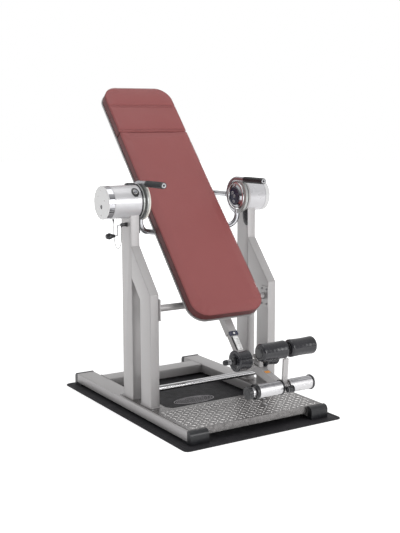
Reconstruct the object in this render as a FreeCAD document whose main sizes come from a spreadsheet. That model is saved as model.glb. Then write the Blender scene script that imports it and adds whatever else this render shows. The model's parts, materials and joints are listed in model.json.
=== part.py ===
import FreeCAD, Part
import Sketcher
import math
import os

# Motorised inversion table: a padded board on a geared hub between two uprights.
# Frame: millimetres, +Z up, +X to the right of someone facing the machine, +Y to its back.
# The origin lies on the floor, under the middle of the tilt axis.

V = FreeCAD.Vector
doc = FreeCAD.newDocument("inversion_table")

# ---------------------------------------------------------------- driving sizes
DRIVING = [
    ("axis_height", 1062, "tilt axis above the floor"),
    ("rest_lean", 41.3, "lean of the pad from upright at rest, degrees"),
    ("mat_thickness", 6, "rubber floor mat"),
    ("mat_width", 902, "mat across the machine"),
    ("mat_front", -684, "front edge of the mat"),
    ("mat_depth", 1290, "mat from front to back"),
    ("base_width", 794, "outside of the two floor rails"),
    ("base_front", -606.5, "front end of the rails"),
    ("base_depth", 1165, "length of the rails"),
    ("stock_wide", 100, "long side of the rectangular tube"),
    ("stock_narrow", 50, "short side of the rectangular tube"),
    ("stock_wall", 3, "wall of the rectangular tube"),
    ("foot_lift", 10.5, "gap that the rubber feet leave under the rails"),
    ("foot_reach", 31, "how far a foot stands past its rail end"),
    ("foot_grip", 46, "how far a foot reaches back under its rail"),
    ("crossmember_y", 416, "middle of the rear crossmember"),
    ("plate_thickness", 3, "tread plate"),
    ("platform_depth", 326, "tread plate between the rails, front to back"),
    ("strip_back", 68, "back end of the tread plate's side strips"),
    ("upright_centre", 349, "middle plane of an upright"),
    ("front_post_y", -184, "middle of the front post"),
    ("drum_radius", 82, "outside of both hub housings"),
    ("drum_wall", 3, "wall of the hub housings"),
    ("drum_inner_end", 320, "where the housings meet their flanges"),
    ("motor_drum_end", 469, "outer end of the motor housing's shell"),
    ("motor_cap_end", 506, "outer face of the motor housing's cap"),
    ("control_drum_end", 418, "outer end of the control housing's shell"),
    ("control_cap_end", 448, "outer face of the control housing's cap"),
    ("disc_radius", 92, "hub discs that carry the table"),
    ("disc_inner", 283, "inner face of a hub disc"),
    ("disc_thickness", 16, "hub disc"),
    ("pipe_radius", 14, "handle bars and yokes"),
    ("bar_plane", 291, "plane that holds a handle bar"),
    ("bar_height", 88, "grip axis above the tilt axis"),
    ("grip_radius", 15.5, "rubber hand grips"),
    ("grip_length", 165, "rubber hand grips"),
    ("grip_front", 234, "front end of the grips, ahead of the tilt axis"),
    ("pad_width", 420, "pad"),
    ("pad_low", -653, "foot end of the pad along the table"),
    ("pad_high", 815, "head end of the pad along the table"),
    ("pad_split", 496, "where the head cushion meets the back cushion"),
    ("pad_corner", 88, "corner radius of the pad"),
    ("pad_face", 54, "front face of the pad behind the tilt axis"),
    ("cushion_depth", 54, "cushion"),
    ("tray_depth", 9, "board and tray behind the cushions"),
    ("spine_width", 40, "outer leg tube, across"),
    ("spine_depth", 43, "outer leg tube, front to back"),
    ("spine_low", -728, "foot end of the outer leg tube"),
    ("spine_high", 560, "head end of the outer leg tube"),
    ("leg_bend", -841, "where the inner leg tube turns forward"),
    ("leg_width", 33.6, "inner leg tube, across"),
    ("leg_depth", 36.6, "inner leg tube, front to back"),
    ("rest_bar_radius", 31, "foot rest bar"),
    ("rest_bar_half", 150, "half the foot rest bar's span"),
    ("roller_radius", 41, "front ankle rollers"),
    ("roller_half", 152, "half the span of both front rollers"),
    ("plate_inset", 12, "tread plate's side edges, in from the rails' outer faces"),
    ("lip_depth", 34, "tread plate's front lip, from the plate's top down"),
    ("cup_radius", 43, "rear ankle cups' body"),
    ("cup_flange", 7, "how far a cup's flange stands out of its body"),
    ("cup_length", 74, "a rear ankle cup"),
    ("cup_left_start", -134, "left end of the left cup"),
    ("cup_right_start", 21, "left end of the right cup"),
    ("cord_radius", 1.5, "lead to the crank holder"),
    ("gear_module", 2.5, "hub drive gears"),
    ("pinion_teeth", 14, "motor pinion"),
    ("ring_teeth", 30, "internal gear on the drive hub"),
]
sheet = doc.addObject("Spreadsheet::Sheet", "sizes")
for row, (alias, value, meaning) in enumerate(DRIVING, start=1):
    sheet.set("A%d" % row, meaning)
    sheet.set("B%d" % row, str(value))
    sheet.setAlias("B%d" % row, alias)
doc.recompute()


def size(alias):
    return float(getattr(sheet, alias))


LEAN = math.radians(size("rest_lean"))
AXIS = V(0, 0, size("axis_height"))
WORLD = FreeCAD.Placement()
AT_AXIS = FreeCAD.Placement(AXIS, FreeCAD.Rotation())
# Table frame: origin on the tilt axis, +Z along the pad to the head, +Y through the pad to its back.
TABLE = FreeCAD.Placement(AXIS, FreeCAD.Rotation(V(1, 0, 0), -size("rest_lean")))

FLOOR_TOP = size("mat_thickness")
RAIL_LOW = FLOOR_TOP + size("foot_lift")
RAIL_TOP = RAIL_LOW + size("stock_narrow")
PLATE_TOP = RAIL_TOP + size("plate_thickness")
HALF_BASE = size("base_width") / 2
RAIL_MIDDLE = HALF_BASE - size("stock_wide") / 2
FRONT = size("base_front")
BACK = FRONT + size("base_depth")
WALL = size("stock_wall")
DRUM = size("drum_radius")
GEAR_OFFSET = (size("ring_teeth") - size("pinion_teeth")) * size("gear_module") / 2
NODES = {}


# ---------------------------------------------------------------- helpers
def keep(thing, node):
    """Give a finished object its own label and list it as a sub-part."""
    thing.Label = node
    NODES[node] = thing
    return thing


def bind(thing, **links):
    for prop, link in links.items():
        thing.setExpression(prop, str(link))
    return thing


def place(thing, x=0, y=0, z=0):
    """Bind a primitive's corner or centre to sizes."""
    for axis_name, link in (("x", x), ("y", y), ("z", z)):
        if link != 0:
            thing.setExpression("Placement.Base." + axis_name, str(link))
    return thing


def box(name, length, width, height, x=0, y=0, z=0):
    thing = doc.addObject("Part::Box", name)
    bind(thing, Length=length, Width=width, Height=height)
    return place(thing, x, y, z)


def rod_x(name, radius, length, x=0, y=0, z=0):
    """A cylinder along +X from x."""
    thing = doc.addObject("Part::Cylinder", name)
    thing.Placement.Rotation = FreeCAD.Rotation(V(0, 1, 0), 90)
    bind(thing, Radius=radius, Height=length)
    return place(thing, x, y, z)


def fuse(name, *things):
    thing = doc.addObject("Part::MultiFuse", name)
    thing.Shapes = list(things)
    return thing


def cut(name, base, tool):
    thing = doc.addObject("Part::Cut", name)
    thing.Base = base
    thing.Tool = tool
    return thing


def feature(name, shape, placement=WORLD):
    thing = doc.addObject("Part::Feature", name)
    thing.Shape = shape
    thing.Placement = placement.multiply(shape.Placement)
    return thing


def new_body(name, placement=WORLD):
    thing = doc.addObject("PartDesign::Body", name)
    thing.Placement = placement
    return thing


def new_sketch(body, name, role, lift=0):
    """A sketch on one of the body's own origin planes, lifted along its normal."""
    thing = body.newObject("Sketcher::SketchObject", name)
    planes = [item for item in body.Origin.OriginFeatures if item.Role == role]
    thing.AttachmentSupport = [(planes[0], "")]
    thing.MapMode = "FlatFace"
    if lift:
        thing.AttachmentOffset = FreeCAD.Placement(V(0, 0, lift), FreeCAD.Rotation())
    return thing


def draw(sketch, points):
    """A closed outline. A point is (x, y), or (x, y, radius) where the corner is rounded."""
    rounded = []
    count = len(points)
    for index, point in enumerate(points):
        corner = V(point[0], point[1], 0)
        if len(point) == 2:
            rounded.append((corner, corner, None))
            continue
        before = V(points[index - 1][0], points[index - 1][1], 0)
        after = V(points[(index + 1) % count][0], points[(index + 1) % count][1], 0)
        rounded.append(round_corner(before, corner, after, point[2]))
    for index, (start, end, middle) in enumerate(rounded):
        if middle:
            sketch.addGeometry(Part.Arc(start, middle, end), False)
        following = rounded[(index + 1) % count][0]
        sketch.addGeometry(Part.LineSegment(end, following), False)


def round_corner(before, corner, after, radius):
    """Where an arc of this radius leaves and joins the two sides of a corner."""
    back = (before - corner).normalize()
    ahead = (after - corner).normalize()
    half = math.acos(max(-1, min(1, back.dot(ahead)))) / 2
    reach = radius / math.tan(half)
    inward = (back + ahead).normalize()
    centre = corner + inward * (radius / math.sin(half))
    return corner + back * reach, corner + ahead * reach, centre - inward * radius


def rectangle(sketch, width, height):
    """A rectangle centred on the sketch's origin, with both sides bound to sizes."""
    a = V(-10, -10, 0)
    b = V(10, -10, 0)
    c = V(10, 10, 0)
    d = V(-10, 10, 0)
    sides = [Part.LineSegment(a, b), Part.LineSegment(b, c), Part.LineSegment(c, d), Part.LineSegment(d, a)]
    first = sketch.addGeometry(sides, False)[0]
    for side in range(4):
        sketch.addConstraint(Sketcher.Constraint("Coincident", first + side, 2, first + (side + 1) % 4, 1))
    for side in (0, 2):
        sketch.addConstraint(Sketcher.Constraint("Horizontal", first + side))
    for side in (1, 3):
        sketch.addConstraint(Sketcher.Constraint("Vertical", first + side))
    sketch.addConstraint(Sketcher.Constraint("Symmetric", first, 1, first + 1, 2, -1, 1))
    for side, link in ((0, width), (1, height)):
        kind = "DistanceX" if side == 0 else "DistanceY"
        number = sketch.addConstraint(Sketcher.Constraint(kind, first + side, 1, first + side, 2, 20))
        sketch.setExpression("Constraints[%d]" % number, str(link))


def pad(body, sketch, length, midplane=False, reverse=False):
    thing = body.newObject("PartDesign::Pad", body.Name + "_pad")
    thing.Profile = sketch
    thing.setExpression("Length", str(length))
    thing.Midplane = midplane
    thing.Reversed = reverse
    sketch.Visibility = False
    return thing


def pocket(body, sketch, length, midplane=False):
    thing = body.newObject("PartDesign::Pocket", body.Name + "_pocket")
    thing.Profile = sketch
    thing.setExpression("Length", str(length))
    thing.Midplane = midplane
    return thing


def tube_along(name, role, wide, tall, length, placement):
    """Rectangular hollow tube, centred on the sketch plane's origin, padded along its normal."""
    body = new_body(name, placement)
    outline = new_sketch(body, name + "_outline", role)
    rectangle(outline, wide, tall)
    rectangle(outline, "%s - 2 * sizes.stock_wall" % wide, "%s - 2 * sizes.stock_wall" % tall)
    pad(body, outline, length)
    return body


def bent_path(points, bend_radii):
    """Straight runs joined by tangent arcs, one radius for each inner point."""
    edges = []
    start = points[0]
    for index in range(1, len(points) - 1):
        leave, join, middle = round_corner(points[index - 1], points[index], points[index + 1],
                                           bend_radii[index - 1])
        edges.append(Part.LineSegment(start, leave).toShape())
        edges.append(Part.Arc(leave, middle, join).toShape())
        start = join
    edges.append(Part.LineSegment(start, points[-1]).toShape())
    return Part.Wire(edges)


def pipe(wire, radius):
    """A round solid along a wire, checked against section times length."""
    first = wire.Edges[0]
    start = first.valueAt(first.FirstParameter)
    along = first.tangentAt(first.FirstParameter)
    section = Part.Wire([Part.makeCircle(radius, start, along)])
    solid = wire.makePipeShell([section], True, False)
    expected = math.pi * radius * radius * wire.Length
    if abs(solid.Volume - expected) > 0.02 * expected:
        raise RuntimeError("pipe volume %.0f, expected %.0f" % (solid.Volume, expected))
    return solid


def turned(profile, node, placement=WORLD):
    """A body turned about X from an outline of (along, radius) points in its XY plane."""
    body = new_body(node, placement)
    outline = new_sketch(body, node + "_outline", "XY_Plane")
    draw(outline, profile)
    spin = body.newObject("PartDesign::Revolution", node + "_turned")
    spin.Profile = outline
    spin.ReferenceAxis = (outline, ["H_Axis"])
    spin.Angle = 360
    return body


def hollow_pipe(wire, radius):
    return pipe(wire, radius).cut(pipe(wire, radius - WALL))


def mirrored_x(shape):
    return shape.mirror(V(0, 0, 0), V(1, 0, 0))


# ---------------------------------------------------------------- floor mat and base
def make_mat():
    body = new_body("floor_mat_body")
    outline = new_sketch(body, "mat_outline", "XY_Plane")
    half = size("mat_width") / 2
    front = size("mat_front")
    back = front + size("mat_depth")
    corner = 24
    draw(outline,
         [(-half, front, corner), (half, front, corner), (half, back, corner), (-half, back, corner)])
    pad(body, outline, "sizes.mat_thickness")
    keep(body, "floor_mat")


def make_rails():
    for side, node in ((-1, "rail_left"), (1, "rail_right")):
        middle = V(side * RAIL_MIDDLE, FRONT, RAIL_LOW + size("stock_narrow") / 2)
        turn = FreeCAD.Rotation(V(0, 0, 1), 180)
        body = tube_along(node + "_body", "XZ_Plane", "sizes.stock_wide", "sizes.stock_narrow",
                          "sizes.base_depth", FreeCAD.Placement(middle, turn))
        keep(body, node)
    reach = 2 * (RAIL_MIDDLE - size("stock_wide") / 2)
    middle = V(-reach / 2, size("crossmember_y"), RAIL_LOW + size("stock_narrow") / 2)
    body = tube_along("rear_crossmember_body", "YZ_Plane", "sizes.stock_wide", "sizes.stock_narrow",
                      "2 * (sizes.base_width / 2 - sizes.stock_wide)",
                      FreeCAD.Placement(middle, FreeCAD.Rotation()))
    keep(body, "rear_crossmember")


def make_feet():
    """Rubber caps that close the rail ends and carry the machine clear of the mat."""
    reach = size("foot_reach")
    grip = size("foot_grip")
    wide = size("stock_wide")
    roll = 24
    plug_length = 22
    slack = 0.3
    shapes = []
    for side in (-1, 1):
        for end, direction in ((FRONT, -1), (BACK, 1)):
            outer = end + direction * reach
            inner = end - direction * grip
            low = FLOOR_TOP
            high = RAIL_TOP + 2.0
            points = [V(0, outer, low), V(0, outer, high - roll), V(0, outer - direction * roll, high),
                      V(0, end, high), V(0, end, RAIL_LOW), V(0, inner, RAIL_LOW), V(0, inner, low)]
            middle = V(0, outer - direction * roll * (1 - math.sin(math.pi / 4)),
                       high - roll * (1 - math.cos(math.pi / 4)))
            edges = []
            for index, point in enumerate(points):
                following = points[(index + 1) % len(points)]
                if index == 1:
                    edges.append(Part.Arc(point, middle, following).toShape())
                else:
                    edges.append(Part.LineSegment(point, following).toShape())
            face = Part.Face(Part.Wire(edges))
            solid = face.extrude(V(wide, 0, 0))
            solid.translate(V(side * RAIL_MIDDLE - wide / 2, 0, 0))
            plug = Part.makeBox(wide - 2 * (WALL + slack), plug_length,
                                size("stock_narrow") - 2 * (WALL + slack))
            plug_front = end if direction < 0 else end - plug_length
            plug.translate(V(side * RAIL_MIDDLE - wide / 2 + WALL + slack, plug_front,
                             RAIL_LOW + WALL + slack))
            shapes.append(solid.fuse(plug).removeSplitter().Solids[0])
    keep(feature("rubber_feet_shape", Part.makeCompound(shapes)), "rubber_feet")


def make_tread_plate():
    thick = size("plate_thickness")
    half = HALF_BASE - size("plate_inset")
    body = new_body("tread_plate_body", FreeCAD.Placement(V(0, 0, RAIL_TOP), FreeCAD.Rotation()))
    outline = new_sketch(body, "tread_outline", "XY_Plane")
    inner = HALF_BASE - size("stock_wide") + 2
    step = FRONT + size("platform_depth")
    back = size("strip_back")
    front = FRONT + 0.5
    draw(outline, [(-half, front), (half, front), (half, back), (inner, back),
                   (inner, step + 30), (inner - 22, step), (-inner + 22, step), (-inner, step + 30),
                   (-inner, back), (-half, back)])
    pad(body, outline, "sizes.plate_thickness")
    lip_width = 2 * (HALF_BASE - size("stock_wide")) - 4
    lip = new_sketch(body, "lip_outline", "XY_Plane", thick)
    draw(lip, [(-lip_width / 2, front), (lip_width / 2, front), (lip_width / 2, front + thick),
               (-lip_width / 2, front + thick)])
    pad(body, lip, "sizes.lip_depth", reverse=True)
    keep(body, "tread_plate")


def bolt_head(radius, height, centre, direction):
    """Domed button head, its flat side on centre."""
    dome = Part.makeSphere(radius * 1.25, V(0, 0, height - radius * 1.25))
    puck = Part.makeCylinder(radius, height, V(0, 0, 0))
    socket = Part.makeCylinder(radius * 0.42, height, V(0, 0, height * 0.45))
    head = puck.common(dome).cut(socket)
    head.Placement = FreeCAD.Placement(centre, FreeCAD.Rotation(V(0, 0, 1), direction))
    return head


def make_bolts():
    heads = []
    end_plate = 6
    for side in (-1, 1):
        for x, y in ((379, -262), (376, -560), (342, -92)):
            heads.append(bolt_head(5, 3.4, V(side * x, y, PLATE_TOP), V(0, 0, 1)))
        for y in (-230, -190):
            for z in (515, 592):
                inner_face = size("upright_centre") - size("stock_narrow") / 2
                heads.append(bolt_head(6, 4, V(side * (inner_face - end_plate), y, z), V(-side, 0, 0)))
    for x, y in ((190, -392), (140, -478)):
        heads.append(bolt_head(9, 5, V(x, y, PLATE_TOP), V(0, 0, 1)))
    keep(feature("frame_bolts_shape", Part.makeCompound(heads)), "frame_bolts")


# ---------------------------------------------------------------- uprights
def make_rear_post(side, node):
    """Straight post under the hub, its top notched to the round housing."""
    middle = V(side * size("upright_centre"), 0, PLATE_TOP)
    body = new_body(node + "_body", FreeCAD.Placement(middle, FreeCAD.Rotation()))
    outline = new_sketch(body, node + "_outline", "XY_Plane")
    rectangle(outline, "sizes.stock_narrow", "sizes.stock_wide")
    rectangle(outline, "sizes.stock_narrow - 2 * sizes.stock_wall", "sizes.stock_wide - 2 * sizes.stock_wall")
    pad(body, outline, "sizes.axis_height - %g" % (PLATE_TOP + 62))
    notch = new_sketch(body, node + "_notch", "YZ_Plane")
    notch.addGeometry(Part.Circle(V(0, size("axis_height") - PLATE_TOP, 0), V(0, 0, 1), DRUM + 0.02), False)
    doc.recompute()
    before = body.Tip.Shape.Volume
    pocket(body, notch, 200, midplane=True)
    doc.recompute()
    if body.Tip.Shape.Volume >= before:
        raise RuntimeError("the notch cut nothing")
    keep(body, node)


def make_front_post(side, node):
    """Front post: upright, then leaning back to meet the rear post."""
    body = new_body(node + "_body",
                    FreeCAD.Placement(V(side * size("upright_centre"), 0, 0), FreeCAD.Rotation()))
    front = size("front_post_y") - size("stock_wide") / 2
    back = size("front_post_y") + size("stock_wide") / 2
    meet = -size("stock_wide") / 2 - 0.1
    bend_front = 630
    bend_back = 593
    apex = 690
    top = 846
    outline = new_sketch(body, node + "_outline", "YZ_Plane")
    draw(outline, [(front, PLATE_TOP), (back, PLATE_TOP), (back, bend_back), (meet, apex), (meet, top),
                   (front, bend_front)])
    pad(body, outline, "sizes.stock_narrow", midplane=True)
    inside = new_sketch(body, node + "_inside", "YZ_Plane")
    slope = math.atan2(apex - bend_back, meet - back)
    drop = WALL * math.tan((math.pi / 2 - slope) / 2)
    draw(inside,
         [(front + WALL, PLATE_TOP - 5), (back - WALL, PLATE_TOP - 5), (back - WALL, bend_back + drop),
                  (meet - WALL, apex + 2.5), (meet - WALL, top - 12), (front + WALL, bend_front - drop)])
    pocket(body, inside, "sizes.stock_narrow - 2 * sizes.stock_wall", midplane=True)
    keep(body, node)


def tube_x(name, radius, length, x, y, z):
    """A round hollow tube along +X."""
    outside = rod_x(name + "_outside", radius, length, x, y, z)
    inside = rod_x(name + "_inside", "%g - sizes.stock_wall" % radius, length + 2, x - 1, y, z)
    return cut(name, outside, inside)


def make_cross_tubes():
    inner_face = size("upright_centre") - size("stock_narrow") / 2
    plates = []
    for side in (-1, 1):
        x = inner_face - 6 if side > 0 else -inner_face
        plates.append(box("end_plate_%s" % ("right" if side > 0 else "left"), 6, 64, 106, x, -242, 500))
    bar = tube_x("upper_bar", 17, 2 * inner_face - 12, -inner_face + 6, -203, 555)
    keep(fuse("upper_cross_tube_shape", bar, *plates), "upper_cross_tube")
    keep(tube_x("lower_cross_tube_shape", 15, 2 * inner_face, -inner_face, "sizes.front_post_y", 148),
         "lower_cross_tube")


# ---------------------------------------------------------------- motor side of the hub
def shell(name, start, end):
    """Open drum along X at the tilt axis."""
    outside = rod_x(name + "_outside", "sizes.drum_radius", abs(end - start), min(start, end), 0,
                    "sizes.axis_height")
    inside = rod_x(name + "_inside", "sizes.drum_radius - sizes.drum_wall", abs(end - start) + 2,
                   min(start, end) - 1, 0, "sizes.axis_height")
    return cut(name, outside, inside)


def make_motor_side():
    keep(shell("motor_housing_shape", -size("motor_drum_end"), -size("drum_inner_end")), "motor_housing")
    band = turned([(-size("motor_cap_end") + 6, 70), (-size("motor_cap_end") + 6, DRUM - 0.8),
                   (-size("motor_drum_end") - 2, DRUM - 0.8), (-size("motor_drum_end") - 2, DRUM - 4),
                   (-size("motor_drum_end") + 8, DRUM - 4), (-size("motor_drum_end") + 8, 70)],
                  "motor_band_body", AT_AXIS)
    keep(band, "motor_band")
    cap = turned([(-size("motor_cap_end"), 0), (-size("motor_cap_end"), DRUM, 3),
                  (-size("motor_cap_end") + 6, DRUM), (-size("motor_cap_end") + 6, 0)],
                 "motor_end_cap_body", AT_AXIS)
    port = new_sketch(cap, "crank_port", "YZ_Plane")
    port.addGeometry(Part.Circle(V(0, -GEAR_OFFSET, 0), V(0, 0, 1), 7), False)
    doc.recompute()
    before = cap.Tip.Shape.Volume
    pocket(cap, port, 2 * size("motor_cap_end") + 10, midplane=True)
    doc.recompute()
    if cap.Tip.Shape.Volume >= before:
        raise RuntimeError("the crank port cut nothing")
    keep(cap, "motor_end_cap")
    can = rod_x("motor_can", 50, 132, -490, 0, "sizes.axis_height - %g" % GEAR_OFFSET)
    mount = rod_x("motor_mount", "sizes.drum_radius - sizes.drum_wall - 0.1", 7, -361, 0, "sizes.axis_height")
    body = fuse("motor_solid", can, mount)
    bore = rod_x("motor_bore", 6.05, 200, -520, 0, "sizes.axis_height - %g" % GEAR_OFFSET)
    keep(cut("gear_motor_shape", body, bore), "gear_motor")
    flange_length = 11
    disc = rod_x("flange_left_disc", "sizes.drum_radius + 2", flange_length, -320, 0, "sizes.axis_height")
    hole = rod_x("flange_left_hole", 20.05, 40, -340, 0, "sizes.axis_height")
    keep(cut("hub_flange_left_shape", disc, hole), "hub_flange_left")


def tooth_outline(teeth, module, root, tip, thickness, start):
    """A gear's outline of trapezoid teeth, narrowing from root to tip. start is tooth 0's angle."""
    pitch_radius = teeth * module / 2
    pitch_angle = 2 * math.pi / teeth
    to_root = 1 if root < tip else -1
    points = []
    for tooth in range(teeth):
        middle = start + tooth * pitch_angle
        for radius, share in ((root, -1), (tip, -1), (tip, 1), (root, 1)):
            widening = math.tan(math.radians(20)) * (pitch_radius - radius) * to_root
            half = (thickness / 2 + widening) / pitch_radius
            points.append(V(0, radius * math.cos(middle + share * half),
                            radius * math.sin(middle + share * half)))
    return points + [points[0]]


def make_drive():
    """Motor pinion inside an internal gear that turns the left hub disc."""
    module = size("gear_module")
    pinion_count = int(size("pinion_teeth"))
    ring_count = int(size("ring_teeth"))
    width = 16
    tooth = math.pi * module / 2
    pinion_pitch = pinion_count * module / 2
    below = -math.pi / 2
    profile = tooth_outline(pinion_count, module, pinion_pitch - 1.25 * module,
                            pinion_pitch + 0.8 * module, tooth - 0.4, below)
    gear = Part.Face(Part.makePolygon(profile)).extrude(V(width, 0, 0))
    gear.translate(V(-350, 0, 0))
    shaft = Part.makeCylinder(6, 500 - 350 + 8, V(-500, 0, 0), V(1, 0, 0))
    pinion = gear.fuse(shaft).removeSplitter()
    pinion.translate(V(0, 0, -GEAR_OFFSET))
    keep(feature("motor_pinion_shape", pinion, AT_AXIS), "motor_pinion")

    ring_pitch = ring_count * module / 2
    # Internal teeth point inward from the rim.
    # A space between two of them takes the pinion's lowest tooth.
    space = tooth_outline(ring_count, module, ring_pitch + 1.25 * module, ring_pitch - 0.8 * module,
                          tooth - 0.4, below + math.pi / ring_count)
    inner = Part.Face(Part.makePolygon(space)).extrude(V(width + 4, 0, 0))
    inner.translate(V(-352, 0, 0))
    rim = Part.makeCylinder(50, width + 2, V(-350, 0, 0), V(1, 0, 0))
    ring = rim.cut(inner)
    web = Part.makeCylinder(50, 8, V(-332, 0, 0), V(1, 0, 0))
    shaft = Part.makeCylinder(20, 26, V(-324, 0, 0), V(1, 0, 0))
    disc = Part.makeCylinder(size("disc_radius"), size("disc_thickness"),
                             V(-size("disc_inner") - size("disc_thickness"), 0, 0), V(1, 0, 0))
    nose = Part.makeCone(52, 46, 7, V(-size("disc_inner"), 0, 0), V(1, 0, 0))
    hub = ring.fuse([web, shaft, disc, nose]).removeSplitter()
    keep(feature("drive_hub_shape", hub.Solids[0], AT_AXIS), "drive_hub")


# ---------------------------------------------------------------- control side of the hub
BUTTONS = {"dial_button_up": (24, 15), "dial_button_down": (7, -2), "dial_button_stop": (13, -31)}
BUTTON_RADIUS = 6


def make_control_side():
    keep(shell("control_housing_shape", size("control_drum_end"), size("drum_inner_end")), "control_housing")
    end = size("control_cap_end")
    start = size("control_drum_end")
    keep(turned([(start, 0), (start, DRUM), (end, DRUM, 9), (end, 0)], "control_end_cap_body", AT_AXIS),
         "control_end_cap")
    sleeve = 46
    bore = 40
    flange = turned([(282.6, bore), (282.6, sleeve), (309, sleeve), (309, DRUM + 2), (320, DRUM + 2),
                     (320, bore)],
                    "hub_flange_right_body", AT_AXIS)
    keep(flange, "hub_flange_right")
    inner = size("disc_inner")
    outer = inner + size("disc_thickness")
    idler = turned([(inner + 0.4, sleeve + 0.06), (inner + 0.4, size("disc_radius"), 2),
                    (outer, size("disc_radius"), 2), (outer, sleeve + 0.06)], "idler_hub_body", AT_AXIS)
    keep(idler, "idler_hub")
    bezel = turned([(275, 48.1), (273.5, 49.5), (280.5, 59), (282.4, 59), (282.4, 48.1)], "dial_bezel_body",
                   AT_AXIS)
    keep(bezel, "dial_bezel")
    face = Part.makeCylinder(48, 6, V(276.4, 0, 0), V(1, 0, 0))
    for node, (y, z) in BUTTONS.items():
        hole = Part.makeCylinder(BUTTON_RADIUS + 0.15, 20, V(270, y, z), V(1, 0, 0))
        face = face.cut(hole)
        button = Part.makeCylinder(BUTTON_RADIUS, 6.5, V(273.6, y, z), V(1, 0, 0))
        edge = [item for item in button.Edges if item.Closed and abs(item.CenterOfMass.x - 273.6) < 0.01]
        keep(feature(node + "_shape", button.makeFillet(1.2, edge), AT_AXIS), node)
    keep(feature("dial_face_shape", face, AT_AXIS), "dial_face")


# ---------------------------------------------------------------- switches and crank on the motor side
def drum_patch(column, inner_radius, outer_radius, centre_x, elevation):
    """A curved patch on the housing, cut to the column's outline, at this angle above horizontal."""
    ring = Part.makeCylinder(outer_radius, 200, V(-100, 0, 0), V(1, 0, 0))
    ring = ring.cut(Part.makeCylinder(inner_radius, 220, V(-110, 0, 0), V(1, 0, 0)))
    patch = ring.common(column)
    patch.rotate(V(0, 0, 0), V(1, 0, 0), 90 - elevation)
    patch.translate(V(centre_x, 0, 0))
    return patch


def outward(elevation):
    """Unit vector out of the housing at this elevation, on the front side."""
    angle = math.radians(elevation)
    return V(0, -math.cos(angle), math.sin(angle))


SWITCH_X = -355
SWITCH_ELEVATION = 37
ROCKER_X = -346
ROCKER_ELEVATION = 96
ROCKER_RISE = 5.6


def make_switches():
    oval = Part.Face(Part.Wire([Part.Ellipse(V(0, 0, 0), 25, 19).toShape()]))
    oval.rotate(V(0, 0, 0), V(0, 0, 1), 90)
    oval.translate(V(0, 0, 50))
    panel = drum_patch(oval.extrude(V(0, 0, 60)), DRUM + 0.2, DRUM + 4, SWITCH_X, SWITCH_ELEVATION)
    way_out = outward(SWITCH_ELEVATION)
    base = V(SWITCH_X, 0, 0) + way_out * (DRUM - 4)
    panel = panel.cut(Part.makeCylinder(9.2, 20, base, way_out))
    keep(feature("switch_panel_shape", panel, AT_AXIS), "switch_panel")
    button = Part.makeCylinder(9, 4.6, V(SWITCH_X, 0, 0) + way_out * (DRUM + 2.6), way_out)
    keep(feature("start_button_shape", button, AT_AXIS), "start_button")

    plate = Part.makeBox(46, 30, 60, V(-23, -15, 50))
    upright_edges = [item for item in plate.Edges if abs(item.tangentAt(item.FirstParameter).z) > 0.9]
    frame_patch = drum_patch(plate.makeFillet(6, upright_edges), DRUM + 0.2, DRUM + ROCKER_RISE + 2.4,
                             ROCKER_X,
                             ROCKER_ELEVATION)
    way_out = outward(ROCKER_ELEVATION)
    slot = Part.makeBox(30, 14, 40, V(-15, -7, 0))
    slot.translate(V(0, 0, DRUM - 10))
    slot.rotate(V(0, 0, 0), V(1, 0, 0), 90 - ROCKER_ELEVATION)
    slot.translate(V(ROCKER_X, 0, 0))
    keep(feature("mains_switch_frame_shape", frame_patch.cut(slot), AT_AXIS), "mains_switch_frame")
    rocker = Part.makeBox(28, 13, 4.2, V(-14, -6.5, DRUM + ROCKER_RISE))
    rocker.rotate(V(0, 0, 0), V(1, 0, 0), 90 - ROCKER_ELEVATION)
    rocker.translate(V(ROCKER_X, 0, 0))
    keep(feature("mains_rocker_shape", rocker, AT_AXIS), "mains_rocker")


# The lead from the motor housing to the crank holder, which tells the drive that the crank is stowed.
LEAD_POINTS = [(-437, 12, -91), (-437, 12, -135), (-434, 10, -180), (-430, 8, -212), (-422, 3, -229),
               (-413, -3, -229), (-406, -6, -211), (-403, -8, -172), (-403, -8, -124)]
CRANK_Y = -8
CRANK_Z = -112
CRANK_DROP = 52
CRANK_REACH = 50
POST_FACE = -(size("upright_centre") + size("stock_narrow") / 2)


def make_crank():
    holder = Part.makeCylinder(8.5, 32, V(POST_FACE - 32, CRANK_Y, CRANK_Z), V(1, 0, 0))
    saddle = Part.makeBox(4, 22, 20, V(POST_FACE - 4, CRANK_Y - 11, CRANK_Z - 10))
    socket = Part.makeCylinder(3.5, 8, V(LEAD_POINTS[-1][0], CRANK_Y, LEAD_POINTS[-1][2]), V(0, 0, 1))
    holder = holder.fuse([saddle, socket]).removeSplitter()
    holder = holder.cut(Part.makeCylinder(3.05, 30, V(POST_FACE - 34, CRANK_Y, CRANK_Z), V(1, 0, 0)))
    keep(feature("crank_holder_shape", holder, AT_AXIS), "crank_holder")
    low = CRANK_Z - CRANK_DROP
    route = [V(POST_FACE - 6, CRANK_Y, CRANK_Z), V(POST_FACE - CRANK_REACH, CRANK_Y, CRANK_Z),
             V(POST_FACE - CRANK_REACH, CRANK_Y, low), V(POST_FACE - CRANK_REACH - 54, CRANK_Y, low)]
    keep(feature("crank_arm_shape", pipe(bent_path(route, [7, 7]), 3), AT_AXIS), "crank_arm")
    near = POST_FACE - CRANK_REACH - 15
    far = near - 49
    grip = turned([(near, 3.05), (near, 7, 2), (near - 12, 9.5, 12), (far + 18, 17, 16), (far, 11, 6),
                   (far, 0), (far + 8, 0), (far + 8, 3.05)], "crank_grip_body",
                  FreeCAD.Placement(AXIS + V(0, CRANK_Y, low), FreeCAD.Rotation()))
    keep(grip, "crank_grip")


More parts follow.
